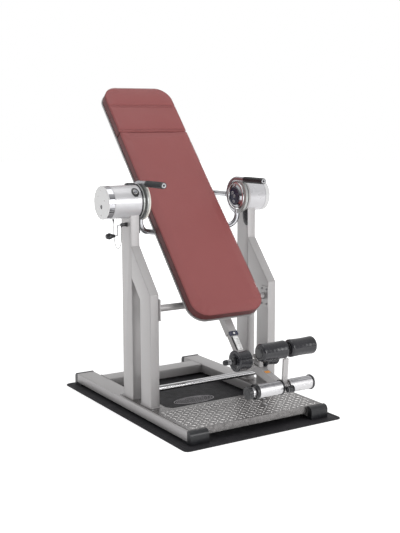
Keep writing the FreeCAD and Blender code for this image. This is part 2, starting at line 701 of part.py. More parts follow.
def make_lead():
    points = [V(*point) for point in LEAD_POINTS]
    radii = []
    for index in range(1, len(points) - 1):
        before = points[index] - points[index - 1]
        after = points[index + 1] - points[index]
        turn = math.acos(max(-1, min(1, before.dot(after) / (before.Length * after.Length))))
        radii.append(0.45 * min(before.Length, after.Length) / math.tan(turn / 2))
    print("lead bend radii:", ", ".join("%.1f" % radius for radius in radii))
    wire = bent_path(points, radii)
    print("lead length: %.1f" % wire.Length)
    keep(feature("holder_lead_shape", pipe(wire, size("cord_radius")), AT_AXIS), "holder_lead")
    gland = Part.makeCylinder(4.5, 14, V(points[0].x, points[0].y, points[0].z), V(0, 0, 1))
    gland = gland.cut(Part.makeCylinder(DRUM + 0.02, 60, V(points[0].x - 30, 0, 0), V(1, 0, 0)))
    keep(feature("lead_gland_shape", gland, AT_AXIS), "lead_gland")


# ---------------------------------------------------------------- moving table
def make_handle_bars():
    """Each bar runs back from its grip over the hub disc and curls down around its back."""
    height = size("bar_height")
    curl = 81
    x = size("bar_plane")
    front = -size("grip_front") + 4
    top = V(x, 0, height)
    centre = V(x, 0, height - curl)
    rear = centre + V(0, curl, 0)
    bottom = centre + V(0, 0, -curl)
    diagonal = curl / math.sqrt(2)
    edges = [Part.LineSegment(V(x, front, height), top).toShape(),
             Part.Arc(top, centre + V(0, diagonal, diagonal), rear).toShape(),
             Part.Arc(rear, centre + V(0, diagonal, -diagonal), bottom).toShape()]
    bar = hollow_pipe(Part.Wire(edges), size("pipe_radius"))
    grip_start = -size("grip_front") + size("grip_length")
    bore = Part.makeCylinder(size("pipe_radius") + 0.02, 400, V(x, front, height), V(0, 1, 0))
    grip = Part.makeCylinder(size("grip_radius"), size("grip_length"), V(x, -size("grip_front"), height),
                             V(0, 1, 0))
    ends = [item for item in grip.Edges if item.Closed]
    grip = grip.makeFillet(1.4, ends).cut(bore)
    grip = grip.cut(Part.makeCylinder(4, 30, V(x, -size("grip_front") - 10, height), V(0, 1, 0)))
    if grip_start > 0:
        raise RuntimeError("the grip reaches the hub")
    for side, name in ((1, "right"), (-1, "left")):
        keep(feature("handle_bar_%s_shape" % name, bar if side > 0 else mirrored_x(bar), AT_AXIS),
             "handle_bar_" + name)
        keep(feature("grip_%s_shape" % name, grip if side > 0 else mirrored_x(grip), AT_AXIS), "grip_" + name)


def make_yokes():
    """Two bent pipes that hang the pad's spine between the hub discs."""
    x = size("bar_plane")
    lower = [V(-x, 4, -62), V(-x, 4, -150), V(-120, 74, -179), V(120, 74, -179), V(x, 4, -150), V(x, 4, -62)]
    keep(feature("lower_yoke_shape", hollow_pipe(bent_path(lower, [60, 60, 60, 60]), size("pipe_radius")),
                 AT_AXIS),
         "lower_yoke")
    upper = [V(-x, 82, 3), V(-x, 234, 3), V(x, 234, 3), V(x, 82, 3)]
    keep(feature("upper_yoke_shape", hollow_pipe(bent_path(upper, [52, 52]), size("pipe_radius")), AT_AXIS),
         "upper_yoke")


def cushion_outline(sketch, low, high, round_low, round_high, inset=0):
    half = size("pad_width") / 2 - inset
    corner = size("pad_corner") - inset
    points = []
    for x, z, rounded in ((-half, low, round_low), (half, low, round_low), (half, high, round_high),
                          (-half, high, round_high)):
        points.append((x, z, corner) if rounded else (x, z, 8))
    draw(sketch, points)


def make_pad():
    """Tray, back cushion and head cushion, drawn facing along Y in the table frame."""
    face = size("pad_face")
    back = face + size("cushion_depth")
    low = size("pad_low")
    high = size("pad_high")
    split = size("pad_split")
    for node, start, depth, limits, rounded, inset in (
            ("pad_tray", back + 0.3, "sizes.tray_depth - 0.3", (low, high), (True, True), 0),
            ("back_cushion", face, "sizes.cushion_depth", (low + 2, split - 1), (True, False), 2),
            ("head_cushion", face, "sizes.cushion_depth", (split + 1, high - 2), (False, True), 2)):
        body = new_body(node + "_body", TABLE)
        outline = new_sketch(body, node + "_outline", "XZ_Plane", -start)
        cushion_outline(outline, limits[0], limits[1], rounded[0], rounded[1], inset)
        pad(body, outline, depth, reverse=True)
        keep(body, node)


def make_spine():
    back = size("pad_face") + size("cushion_depth") + size("tray_depth")
    middle = back + size("spine_depth") / 2 + 0.2
    body = new_body("spine_tube_body", TABLE.multiply(FreeCAD.Placement(V(0, middle, size("spine_low")),
                                                                        FreeCAD.Rotation())))
    outline = new_sketch(body, "spine_outline", "XY_Plane")
    rectangle(outline, "sizes.spine_width", "sizes.spine_depth")
    rectangle(outline, "sizes.leg_width + 0.1", "sizes.leg_depth + 0.1")
    pad(body, outline, "sizes.spine_high - sizes.spine_low")
    keep(body, "spine_tube")
    collar_high = size("spine_low") + 4
    collar_low = size("spine_low") - 18
    outside = box("collar_outside", "sizes.spine_width + 5", 13, collar_high - collar_low)
    outside.Placement.Base = V(-(size("spine_width") + 5) / 2, middle - (size("spine_depth") + 5) / 2,
                               collar_low)
    inside = box("collar_inside", "sizes.leg_width + 0.1", "sizes.leg_depth + 0.1", 60)
    inside.Placement.Base = V(-(size("leg_width") + 0.1) / 2, middle - (size("leg_depth") + 0.1) / 2,
                              collar_low - 10)
    seat = box("collar_seat", "sizes.spine_width + 0.04", "sizes.spine_depth + 0.04", 30)
    seat.Placement.Base = V(-(size("spine_width") + 0.04) / 2, middle - (size("spine_depth") + 0.04) / 2,
                            size("spine_low"))
    window = rod_x("collar_window", 5.2, 30)
    window.Placement = FreeCAD.Placement(V(0, middle - 10, size("spine_low") - 8),
                                         FreeCAD.Rotation(V(0, 0, 1), V(0, -1, 0)))
    collar = cut("slide_collar_shape", outside, fuse("collar_space", inside, seat, window))
    collar.Placement = TABLE
    keep(collar, "slide_collar")
    front = middle - (size("spine_depth") + 5) / 2
    button = Part.makeCylinder(5, 4.4, V(0, front + 2.9, size("spine_low") - 8), V(0, -1, 0))
    keep(feature("height_lock_button_shape", button, TABLE), "height_lock_button")
    return middle


# ---------------------------------------------------------------- sliding leg and foot rest
PIVOT = V(0, -74.7, -1129.6)
ROLLER_AXIS = V(0, -201.6, -1004.1)
CUP_AXIS = V(0, 16.4, -927.9)
FOOT_TUBE_END = V(0, -47.0, -1108.0)
# Half the gap between the two rollers, which the lever's head stands in.
ROLLER_GAP = 5.5


def offset_line(start, end, distance):
    """Two points moved sideways by distance, to the left of the way from start to end in the YZ plane."""
    along = (end - start).normalize()
    aside = V(0, -along.z, along.y) * distance
    return start + aside, end + aside


def crossing(first, second):
    """Where two lines in the YZ plane meet."""
    p, q = first
    r, s = second
    d1 = q - p
    d2 = s - r
    share = ((r.y - p.y) * d2.z - (r.z - p.z) * d2.y) / (d1.y * d2.z - d1.z * d2.y)
    return p + d1 * share


def bent_band(start, bend, end, half):
    """Side outline of a bar that follows start, bend, end."""
    left_a = offset_line(start, bend, half)
    left_b = offset_line(bend, end, half)
    right_a = offset_line(start, bend, -half)
    right_b = offset_line(bend, end, -half)
    ring = [left_a[0], crossing(left_a, left_b), left_b[1], right_b[1], crossing(right_a, right_b),
            right_a[0]]
    return [(point.y, point.z) for point in ring]


def make_leg(middle):
    top = V(0, middle, -300)
    bend = V(0, middle, size("leg_bend"))
    body = new_body("leg_tube_body", TABLE)
    outline = new_sketch(body, "leg_outline", "YZ_Plane")
    draw(outline, bent_band(top, bend, FOOT_TUBE_END, size("leg_depth") / 2))
    pad(body, outline, "sizes.leg_width", midplane=True)
    inside = new_sketch(body, "leg_inside", "YZ_Plane")
    draw(inside,
         bent_band(top + V(0, 0, 20), bend, FOOT_TUBE_END + V(0, 7, 10), size("leg_depth") / 2 - WALL))
    pocket(body, inside, "sizes.leg_width - 2 * sizes.stock_wall", midplane=True)
    doc.recompute()
    tube = body.Shape.copy()
    tube.Placement = FreeCAD.Placement()
    # Two ears carry the foot rest's axle past the end of the tube.
    ear_half = size("leg_width") / 2
    ears = []
    for side in (-1, 1):
        inner = side * 11.2 if side > 0 else -ear_half
        thick = ear_half - 11.2
        ear = Part.makeCylinder(22, thick, PIVOT + V(inner, 0, 0), V(1, 0, 0))
        link = Part.makeBox(thick, 62, 32, V(inner, -6, -16))
        link.rotate(V(0, 0, 0), V(1, 0, 0), 34.6)
        link.translate(V(0, PIVOT.y, PIVOT.z))
        web = ear.fuse(link)
        web = web.cut(Part.makeCylinder(8.0, 80, PIVOT + V(-40, 0, 0), V(1, 0, 0)))
        ears.append(web)
    # A bracket on top of the tube holds the cups' axle.
    bracket = Part.makeBox(20, 44, 60, V(-10, -22, -60))
    bracket.rotate(V(0, 0, 0), V(1, 0, 0), 34.6)
    bracket.translate(CUP_AXIS)
    boss = Part.makeCylinder(20, 38, CUP_AXIS + V(-19, 0, 0), V(1, 0, 0))
    whole = tube.fuse(ears + [bracket, boss])
    whole = whole.cut(Part.makeCylinder(8.0, 80, CUP_AXIS + V(-40, 0, 0), V(1, 0, 0)))
    whole = whole.removeSplitter()
    if len(whole.Solids) != 1:
        raise RuntimeError("the leg came apart into %d solids" % len(whole.Solids))
    keep(feature("leg_tube_shape", whole.Solids[0], TABLE), "leg_tube")
    scale = box("height_scale_shape", 31, 1.2, 76)
    scale.Placement = TABLE.multiply(FreeCAD.Placement(V(-15.5, middle - size("leg_depth") / 2 - 1.2,
                                                         size("leg_bend") + 14), FreeCAD.Rotation()))
    return scale


def make_ankle_cups():
    """Two identical moulded spools, each with its flange at its left end, on one axle."""
    body_radius = size("cup_radius")
    rim = body_radius + size("cup_flange")
    length = size("cup_length")
    at_axis = TABLE.multiply(FreeCAD.Placement(CUP_AXIS, FreeCAD.Rotation()))
    for name in ("left", "right"):
        start = size("cup_%s_start" % name)
        profile = [(start, 8.05), (start, rim, 3), (start + 9, rim, 1.5), (start + 13, body_radius - 1, 3),
                   (start + length / 2, body_radius - 3, 120), (start + length, body_radius, 3),
                   (start + length, 8.05)]
        keep(turned(profile, "ankle_cup_%s_body" % name, at_axis), "ankle_cup_" + name)
    left = size("cup_left_start")
    right = size("cup_right_start") + length
    rod = Part.makeCylinder(8, right - left + 16, V(left - 8, 0, 0), V(1, 0, 0))
    collar = Part.makeCylinder(18, 19, V(left - 19.5, 0, 0), V(1, 0, 0))
    nut = Part.makeCylinder(13, 24, V(left - 43, 0, 0), V(1, 0, 0))
    tip = Part.makeCone(12, 14.5, 18, V(left - 61, 0, 0), V(1, 0, 0))
    end = Part.makeCylinder(14, 7, V(right + 0.5, 0, 0), V(1, 0, 0))
    keep(feature("cup_axle_shape", rod.fuse([collar, nut, tip, end]).removeSplitter(), at_axis), "cup_axle")


def make_foot_rest():
    at_pivot = TABLE.multiply(FreeCAD.Placement(PIVOT, FreeCAD.Rotation()))
    radius = size("rest_bar_radius")
    half = size("rest_bar_half")
    gap = 19
    neck = 36
    axle = Part.makeCylinder(7.95, 2 * half + neck + 9, V(-half - neck, 0, 0), V(1, 0, 0))
    left = Part.makeCylinder(radius, half - gap, V(-half, 0, 0), V(1, 0, 0))
    right = Part.makeCylinder(radius, half - gap, V(gap, 0, 0), V(1, 0, 0))
    collar = Part.makeCylinder(radius - 8, neck, V(-half - neck, 0, 0), V(1, 0, 0))
    cap = Part.makeCylinder(radius - 1.5, 8, V(half, 0, 0), V(1, 0, 0))
    bar = axle.fuse([left, right, collar, cap]).removeSplitter()
    bar = bar.cut(Part.makeCylinder(5.0, 20, V(-half - neck - 4, 0, 0), V(1, 0, 0)))
    keep(feature("foot_rest_bar_shape", bar, at_pivot), "foot_rest_bar")
    lobes = 8
    depth = 19
    start = -half - neck - 0.5 - depth
    knob = Part.makeCylinder(29, depth, V(start, 0, 0), V(1, 0, 0))
    for lobe in range(lobes):
        angle = 2 * math.pi * lobe / lobes
        groove = Part.makeCylinder(5, 30, V(start - 5, 32 * math.cos(angle), 32 * math.sin(angle)),
                                   V(1, 0, 0))
        knob = knob.cut(groove)
    stem = Part.makeCylinder(4.95, 14, V(start + depth - 2, 0, 0), V(1, 0, 0))
    keep(feature("foot_rest_knob_shape", knob.fuse(stem).removeSplitter(), at_pivot), "foot_rest_knob")


def make_ankle_lever():
    """Flat bar from the foot rest's axle up to the front rollers, with a short foot peg ahead of the axle."""
    hub = Part.makeCylinder(19, 22, PIVOT + V(-11, 0, 0), V(1, 0, 0))
    reach = (ROLLER_AXIS - PIVOT).Length
    neck = size("roller_radius") + 6
    head_half = ROLLER_GAP - 1.5
    wide = Part.makeBox(27, 10, reach - neck - 22, V(-13.5, -5, 22))
    strap = Part.makeBox(2 * head_half, 10, reach, V(-head_half, -5, 0)).fuse(wide)
    foot = Part.makeBox(22, 10, 30, V(-11, -5, 0))
    strap = strap.fuse(foot)
    slope = math.degrees(math.atan2(ROLLER_AXIS.y - PIVOT.y, ROLLER_AXIS.z - PIVOT.z))
    strap.rotate(V(0, 0, 0), V(1, 0, 0), -slope)
    strap.translate(PIVOT)
    head = Part.makeCylinder(16, 2 * head_half, ROLLER_AXIS + V(-head_half, 0, 0), V(1, 0, 0))
    half = size("roller_half")
    axle = Part.makeCylinder(8, 2 * half + 4, ROLLER_AXIS + V(-half - 2, 0, 0), V(1, 0, 0))
    forward = V(0, -math.cos(LEAN), -math.sin(LEAN))
    stem = Part.makeCylinder(9, 30, PIVOT + forward * 12, forward)
    peg = Part.makeCylinder(14.5, 31, PIVOT + forward * 47 + V(-17, 0, 0), V(1, 0, 0))
    lever = hub.fuse([strap, head, axle, stem, peg]).removeSplitter()
    lever = lever.cut(Part.makeCylinder(8.0, 60, PIVOT + V(-30, 0, 0), V(1, 0, 0)))
    keep(feature("ankle_lever_shape", lever, TABLE), "ankle_lever")
    at_axis = TABLE.multiply(FreeCAD.Placement(ROLLER_AXIS, FreeCAD.Rotation()))
    big = size("roller_radius")
    for side, name in ((-1, "left"), (1, "right")):
        profile = [(side * ROLLER_GAP, 8.05), (side * ROLLER_GAP, big - 1, 7),
                   (side * half / 2, big - 3, 200),
                   (side * half, big, 12), (side * half, 8.05)]
        keep(turned(profile, "roller_%s_body" % name, at_axis), "roller_" + name)


def check_and_write():
    doc.recompute()
    for thing in doc.Objects:
        if "Invalid" in thing.State or "Error" in thing.State:
            raise RuntimeError("%s failed: %s" % (thing.Label, thing.State))
    os.makedirs("parts", exist_ok=True)
    for node, thing in NODES.items():
        shape = thing.Shape
        if shape.isNull() or not shape.isValid() or not shape.Solids:
            raise RuntimeError("%s has no valid solid" % node)
        shape.exportStep("parts/%s.step" % node)
    print("%d nodes written" % len(NODES))


make_mat()
make_rails()
make_feet()
make_tread_plate()
make_bolts()
for post_side, post_name in ((-1, "left"), (1, "right")):
    make_rear_post(post_side, "rear_post_" + post_name)
    make_front_post(post_side, "front_post_" + post_name)
make_cross_tubes()
make_motor_side()
make_drive()
make_control_side()
make_switches()
make_crank()
make_lead()
make_handle_bars()
make_yokes()
make_pad()
SPINE_MIDDLE = make_spine()
keep(make_leg(SPINE_MIDDLE), "height_scale")
make_ankle_cups()
make_foot_rest()
make_ankle_lever()
check_and_write()
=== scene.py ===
import json
import math

import bmesh
import bpy
from mathutils import Matrix, Vector, noise


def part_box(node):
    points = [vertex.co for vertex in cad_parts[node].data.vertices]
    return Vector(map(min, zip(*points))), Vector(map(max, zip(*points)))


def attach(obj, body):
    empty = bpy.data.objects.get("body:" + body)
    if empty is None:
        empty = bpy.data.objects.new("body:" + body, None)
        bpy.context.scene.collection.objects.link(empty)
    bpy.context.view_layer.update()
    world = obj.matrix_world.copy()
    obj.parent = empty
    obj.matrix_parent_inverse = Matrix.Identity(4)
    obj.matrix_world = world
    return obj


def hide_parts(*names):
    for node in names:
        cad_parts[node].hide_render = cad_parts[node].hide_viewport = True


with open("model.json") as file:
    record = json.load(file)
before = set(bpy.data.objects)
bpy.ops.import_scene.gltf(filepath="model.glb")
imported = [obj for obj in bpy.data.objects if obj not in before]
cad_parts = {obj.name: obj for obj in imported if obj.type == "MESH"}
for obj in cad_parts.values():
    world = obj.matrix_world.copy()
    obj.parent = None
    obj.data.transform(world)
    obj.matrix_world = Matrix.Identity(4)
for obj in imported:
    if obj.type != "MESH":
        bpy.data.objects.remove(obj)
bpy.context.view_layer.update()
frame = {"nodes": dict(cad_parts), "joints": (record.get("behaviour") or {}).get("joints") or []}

# ---------------------------------------------------------------- places read from the frame
MM = 0.001
JOINTS = {joint["name"]: joint for joint in frame["joints"]}
AXIS = Vector(JOINTS["table_tilt"]["pos_m"])
SLIDE = Vector(JOINTS["leg_length"]["axis"])
LEAN = math.atan2(-SLIDE.y, -SLIDE.z)
# Table frame: +Z along the pad to its head, +Y through the pad to its back.
TABLE = Matrix.Translation(AXIS) @ Matrix.Rotation(-LEAN, 4, "X")


def table_box(node):
    """Lowest and highest corner of a CAD node in the table frame."""
    back = TABLE.inverted()
    points = [back @ vertex.co for vertex in frame["nodes"][node].data.vertices]
    low = Vector([min(point[axis] for point in points) for axis in range(3)])
    high = Vector([max(point[axis] for point in points) for axis in range(3)])
    return low, high


def middle_of(node):
    low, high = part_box(node)
    return (low + high) / 2


# ---------------------------------------------------------------- camera and the one free cord
def make_camera():
    data = bpy.data.cameras.new("camera")
    data.lens = 63.2
    data.shift_x = 0.0156
    data.shift_y = 0.003
    data.clip_end = 60
    camera = bpy.data.objects.new("camera", data)
    bpy.context.scene.collection.objects.link(camera)
    camera.location = (-2.514, -4.070, 1.450)
    yaw = math.radians(-31.77)
    pitch = math.radians(-8.91)
    roll = math.radians(-0.22)
    turn = Matrix.Rotation(yaw, 4, "Z") @ Matrix.Rotation(math.pi / 2 + pitch, 4, "X") @ Matrix.Rotation(roll,
                                                                                                         4, "Z")
    camera.rotation_euler = turn.to_euler()
    bpy.context.scene.camera = camera


# ---------------------------------------------------------------- node helpers for materials
class Shader:
    """A Principled material whose textures are measured in metres on the object."""

    def __init__(self, name, colour, roughness, metallic=0.0, **sockets):
        self.material = bpy.data.materials.new(name)
        self.material.use_nodes = True
        self.tree = self.material.node_tree
        self.shader = self.tree.nodes["Principled BSDF"]
        self.shader.inputs["Base Color"].default_value = (*colour, 1)
        self.shader.inputs["Roughness"].default_value = roughness
        self.shader.inputs["Metallic"].default_value = metallic
        for socket, value in sockets.items():
            self.shader.inputs[socket.replace("_", " ")].default_value = value
        self.colour = colour
        self.roughness = roughness
        self.place = self.tree.nodes.new("ShaderNodeTexCoord").outputs["Object"]
        self.bump_end = None
        self.colour_end = None
        self.rough_end = None

    def node(self, kind, **inputs):
        made = self.tree.nodes.new(kind)
        for key, value in inputs.items():
            socket = made.inputs[key.replace("_", " ")]
            if isinstance(value, bpy.types.NodeSocket):
                self.tree.links.new(value, socket)
            else:
                socket.default_value = value
        return made

    def stretched(self, scale):
        return self.node("ShaderNodeMapping", Vector=self.place, Scale=scale).outputs["Vector"]

    def noise(self, scale, detail=3.0, roughness=0.5, where=None):
        return self.node("ShaderNodeTexNoise", Vector=where or self.place, Scale=scale, Detail=detail,
                         Roughness=roughness).outputs["Fac"]

    def cells(self, scale, feature="F1", where=None):
        made = self.node("ShaderNodeTexVoronoi", Vector=where or self.place, Scale=scale)
        made.feature = feature
        return made.outputs["Distance"]

    def ramp(self, value, low, high, low_out=0.0, high_out=1.0):
        return self.node("ShaderNodeMapRange", Value=value, From_Min=low, From_Max=high, To_Min=low_out,
                         To_Max=high_out).outputs["Result"]

    def maths(self, operation, first, second):
        made = self.node("ShaderNodeMath")
        made.operation = operation
        for socket, value in zip(made.inputs, (first, second)):
            if isinstance(value, bpy.types.NodeSocket):
                self.tree.links.new(value, socket)
            else:
                socket.default_value = value
        return made.outputs["Value"]

    def tint(self, amount, colour):
        """Mixes colour in by amount, a socket from 0 to 1."""
        mix = self.tree.nodes.new("ShaderNodeMix")
        mix.data_type = "RGBA"
        self.tree.links.new(amount, mix.inputs["Factor"])
        if self.colour_end is None:
            mix.inputs[6].default_value = (*self.colour, 1)
        else:
            self.tree.links.new(self.colour_end, mix.inputs[6])
        mix.inputs[7].default_value = (*colour, 1)
        self.colour_end = mix.outputs[2]
        self.tree.links.new(self.colour_end, self.shader.inputs["Base Color"])
        return self

    def vary_roughness(self, value, spread):
        """Roughness moves by spread either side of its own value as the texture goes from 0 to 1."""
        made = self.ramp(value, 0.25, 0.75, self.roughness - spread, self.roughness + spread)
        self.tree.links.new(made, self.shader.inputs["Roughness"])
        return self

    def bump(self, height, strength, distance):
        made = self.node("ShaderNodeBump", Height=height, Strength=strength, Distance=distance)
        if self.bump_end is not None:
            self.tree.links.new(self.bump_end, made.inputs["Normal"])
        self.bump_end = made.outputs["Normal"]
        self.tree.links.new(self.bump_end, self.shader.inputs["Normal"])
        return self

    def worn_edges(self, colour, amount=0.6):
        """Lighter or darker where the surface bends sharply outward."""
        edge = self.tree.nodes.new("ShaderNodeNewGeometry").outputs["Pointiness"]
        sharp = self.ramp(edge, 0.52, 0.60)
        patchy = self.ramp(self.noise(60.0), 0.40, 0.62, 0.0, amount)
        return self.tint(self.maths("MULTIPLY", sharp, patchy), colour)


def silver_paint():
    made = Shader("silver_powder_coat", (0.37, 0.358, 0.358), 0.42, 0.35, Coat_Weight=0.3, Coat_Roughness=0.3)
    made.tint(made.ramp(made.noise(2600.0, 2.0), 0.45, 0.75, 0.0, 0.30), (0.52, 0.51, 0.51))
    made.tint(made.ramp(made.noise(3.5, 4.0), 0.45, 0.80, 0.0, 0.06), (0.33, 0.32, 0.318))
    made.vary_roughness(made.noise(9.0, 5.0), 0.04)
    return made.bump(made.noise(900.0, 2.0), 0.08, 0.0003).material


def pearl_paint(name="pearl_paint", colour=(0.50, 0.496, 0.51)):
    made = Shader(name, colour, 0.30, 0.30, Coat_Weight=0.4, Coat_Roughness=0.15)
    made.tint(made.ramp(made.noise(2200.0, 2.0), 0.45, 0.8, 0.0, 0.35), tuple(1.2 * part for part in colour))
    made.tint(made.ramp(made.noise(6.0, 4.0), 0.5, 0.8, 0.0, 0.15), tuple(0.86 * part for part in colour))
    made.vary_roughness(made.noise(20.0, 5.0), 0.04)
    return made.bump(made.noise(300.0, 2.0), 0.05, 0.0004).material


def cap_plastic():
    made = Shader("cap_plastic", (0.56, 0.56, 0.56), 0.34, 0.0, Coat_Weight=0.2)
    made.tint(made.ramp(made.noise(9.0, 5.0), 0.5, 0.8, 0.0, 0.30), (0.51, 0.50, 0.49))
    made.vary_roughness(made.noise(30.0, 4.0), 0.06)
    return made.bump(made.noise(1400.0, 2.0), 0.10, 0.0002).material


def chrome(name="chrome", colour=(0.74, 0.74, 0.75), roughness=0.10):
    made = Shader(name, colour, roughness, 1.0)
    made.tint(made.ramp(made.noise(35.0, 6.0, 0.65), 0.55, 0.8, 0.0, 0.25),
              tuple(0.75 * part for part in colour))
    made.vary_roughness(made.noise(18.0, 6.0, 0.7), 0.04)
    streaks = made.noise(900.0, 2.0, where=made.stretched((0.04, 1.0, 1.0)))
    return made.bump(streaks, 0.04, 0.0002).material


def bare_steel(name, colour, roughness):
    made = Shader(name, colour, roughness, 1.0)
    made.tint(made.ramp(made.noise(90.0, 5.0), 0.45, 0.75, 0.0, 0.4), tuple(0.7 * part for part in colour))
    made.vary_roughness(made.noise(60.0, 5.0), 0.08)
    streaks = made.noise(1500.0, 2.0, where=made.stretched((0.05, 1.0, 1.0)))
    return made.bump(streaks, 0.15, 0.0002).material


def tread_metal(name, colour, roughness, grime_and_shade):
    made = Shader(name, colour, roughness, 0.9)
    # Darker blotches: dirt and painted shade, standing for occlusion between the lozenges.
    made.tint(made.ramp(made.noise(55.0, 6.0, 0.7), 0.42, 0.66, 0.0, grime_and_shade),
              tuple(0.45 * part for part in colour))
    scratches = made.noise(700.0, 3.0, where=made.stretched((1.0, 0.06, 1.0)))
    made.tint(made.ramp(scratches, 0.60, 0.72, 0.0, 0.4), (0.85, 0.85, 0.85))
    made.vary_roughness(made.noise(120.0, 4.0), 0.08)
    return made.bump(made.noise(900.0, 4.0), 0.18, 0.0004).material


def maroon_hide(name="maroon_leatherette", depth=1.0):
    """depth below 1 gives a darker copy of the same leatherette: painted shade for the side band, which lies in
    shadow.
    """
    made = Shader(name, (0.262 * depth, 0.074 * depth, 0.073 * depth), 0.50)
    made.shader.inputs["Specular IOR Level"].default_value = 0.30
    creases = made.cells(620.0, "DISTANCE_TO_EDGE")
    pits = made.ramp(creases, 0.0, 0.12)
    # Darker along the grain creases: painted shade in the creases.
    made.tint(made.ramp(creases, 0.10, 0.0, 0.0, 0.45), (0.165 * depth, 0.046 * depth, 0.046 * depth))
    made.tint(made.ramp(made.noise(3.2, 5.0, 0.6), 0.45, 0.75, 0.0, 0.30),
              (0.225 * depth, 0.062 * depth, 0.062 * depth))
    made.tint(made.ramp(made.noise(260.0, 3.0), 0.55, 0.8, 0.0, 0.25),
              (0.33 * depth, 0.108 * depth, 0.102 * depth))
    made.worn_edges((0.37 * depth, 0.14 * depth, 0.13 * depth), 0.35)
    made.vary_roughness(made.noise(9.0, 5.0), 0.06)
    made.bump(made.noise(55.0, 4.0), 0.08, 0.0015)
    return made.bump(pits, 0.32, 0.0005).material


def seam_thread():
    made = Shader("maroon_thread", (0.20, 0.055, 0.053), 0.6, 0.0, Sheen_Weight=0.3)
    twist = made.noise(2500.0, 1.0, where=made.stretched((1.0, 0.3, 0.3)))
    made.tint(made.ramp(twist, 0.4, 0.7, 0.0, 0.5), (0.31, 0.12, 0.11))
    return made.bump(twist, 0.5, 0.0003).material


def mat_rubber():
    made = Shader("mat_rubber", (0.016, 0.0155, 0.018), 0.62)
    made.shader.inputs["Specular IOR Level"].default_value = 0.24
    made.tint(made.ramp(made.noise(600.0, 2.0), 0.62, 0.80, 0.0, 0.5), (0.075, 0.075, 0.080))
    made.tint(made.ramp(made.noise(4.0, 5.0), 0.45, 0.8, 0.0, 0.5), (0.032, 0.030, 0.034))
    made.vary_roughness(made.noise(25.0, 4.0), 0.08)
    return made.bump(made.cells(430.0), 0.55, 0.0009).material


def black_rubber(name="black_rubber", roughness=0.36, grain_scale=900.0):
    made = Shader(name, (0.010, 0.0105, 0.013), roughness)
    made.tint(made.ramp(made.noise(40.0, 5.0), 0.5, 0.8, 0.0, 0.5), (0.020, 0.0205, 0.024))
    made.vary_roughness(made.noise(22.0, 5.0), 0.07)
    return made.bump(made.cells(grain_scale), 0.10, 0.0003).material


def roller_foam():
    made = Shader("roller_foam", (0.012, 0.0118, 0.015), 0.24, 0.0, Sheen_Weight=0.03, Sheen_Roughness=0.4)
    pores = made.cells(1300.0)
    made.tint(made.ramp(made.noise(18.0, 5.0), 0.45, 0.8, 0.0, 0.5), (0.019, 0.0185, 0.023))
    # Darker in the pores: painted shade inside the pits.
    made.tint(made.ramp(pores, 0.0, 0.22, 0.6, 0.0), (0.006, 0.006, 0.007))
    made.vary_roughness(made.noise(12.0, 5.0), 0.05)
    made.bump(made.noise(40.0, 3.0), 0.06, 0.0015)
    return made.bump(pores, 0.07, 0.0003).material


def moulded_plastic(name, colour, roughness=0.38):
    made = Shader(name, colour, roughness)
    made.tint(made.ramp(made.noise(30.0, 4.0), 0.5, 0.8, 0.0, 0.5),
              tuple(min(1.0, 1.5 * part + 0.01) for part in colour))
    made.worn_edges(tuple(min(1.0, 2.2 * part + 0.04) for part in colour), 0.45)
    made.vary_roughness(made.noise(45.0, 4.0), 0.06)
    return made.bump(made.noise(1800.0, 2.0), 0.12, 0.0002).material


def painted_mark(name, colour):
    made = Shader(name, colour, 0.45)
    made.tint(made.ramp(made.noise(700.0, 4.0), 0.55, 0.8, 0.0, 0.35), tuple(0.8 * part for part in colour))
    return made.bump(made.noise(1500.0, 2.0), 0.1, 0.0001).material


M = {
    "silver": silver_paint(),
    "pearl": pearl_paint(),
    "disc": pearl_paint("disc_paint", (0.36, 0.37, 0.36)),
    "cap": cap_plastic(),
    "cream": moulded_plastic("cream_rim", (0.66, 0.63, 0.57), 0.35),
    "chrome": chrome(),
    "pipe": chrome("pipe_plating", (0.46, 0.46, 0.48), 0.28),
    "steel": bare_steel("bare_steel", (0.56, 0.55, 0.54), 0.26),
    "gear": bare_steel("gear_steel", (0.34, 0.34, 0.35), 0.38),
    "foot": bare_steel("foot_alloy", (0.58, 0.575, 0.585), 0.40),
    # The plate is a darker copy of the lozenges' alloy: painted shade between the raised lozenges.
    "tread": tread_metal("tread_alloy", (0.24, 0.23, 0.228), 0.30, 0.7),
    "lozenge": tread_metal("tread_lozenge_alloy", (0.78, 0.76, 0.75), 0.20, 0.25),
    "hide": maroon_hide(),
    # The side band's copy of the leatherette is darker: painted shade on the band.
    "band": maroon_hide("maroon_side_band_painted_shade", 0.42),
    "band_plating": chrome("band_plating", (0.44, 0.44, 0.46), 0.07),
    "thread": seam_thread(),
    "mat": mat_rubber(),
    "rubber": black_rubber(),
    "grip": black_rubber("grip_rubber", 0.34, 1200.0),
    "foam": roller_foam(),
    "cup": moulded_plastic("moulded_cup", (0.018, 0.018, 0.023), 0.27),
    "plastic": moulded_plastic("black_plastic", (0.018, 0.018, 0.020), 0.30),
    "blue": moulded_plastic("blue_plastic", (0.017, 0.019, 0.040), 0.26),
    "white": moulded_plastic("white_plastic", (0.68, 0.68, 0.67), 0.42),
    "grey": moulded_plastic("grey_plastic", (0.16, 0.16, 0.18), 0.36),
    "emblem": moulded_plastic("emblem_grey", (0.26, 0.25, 0.26), 0.5),
    "lead": moulded_plastic("lead_jacket", (0.045, 0.044, 0.042), 0.42),
    "orange": painted_mark("orange_label", (0.66, 0.27, 0.05)),
    "ink": painted_mark("black_ink", (0.012, 0.012, 0.014)),
}

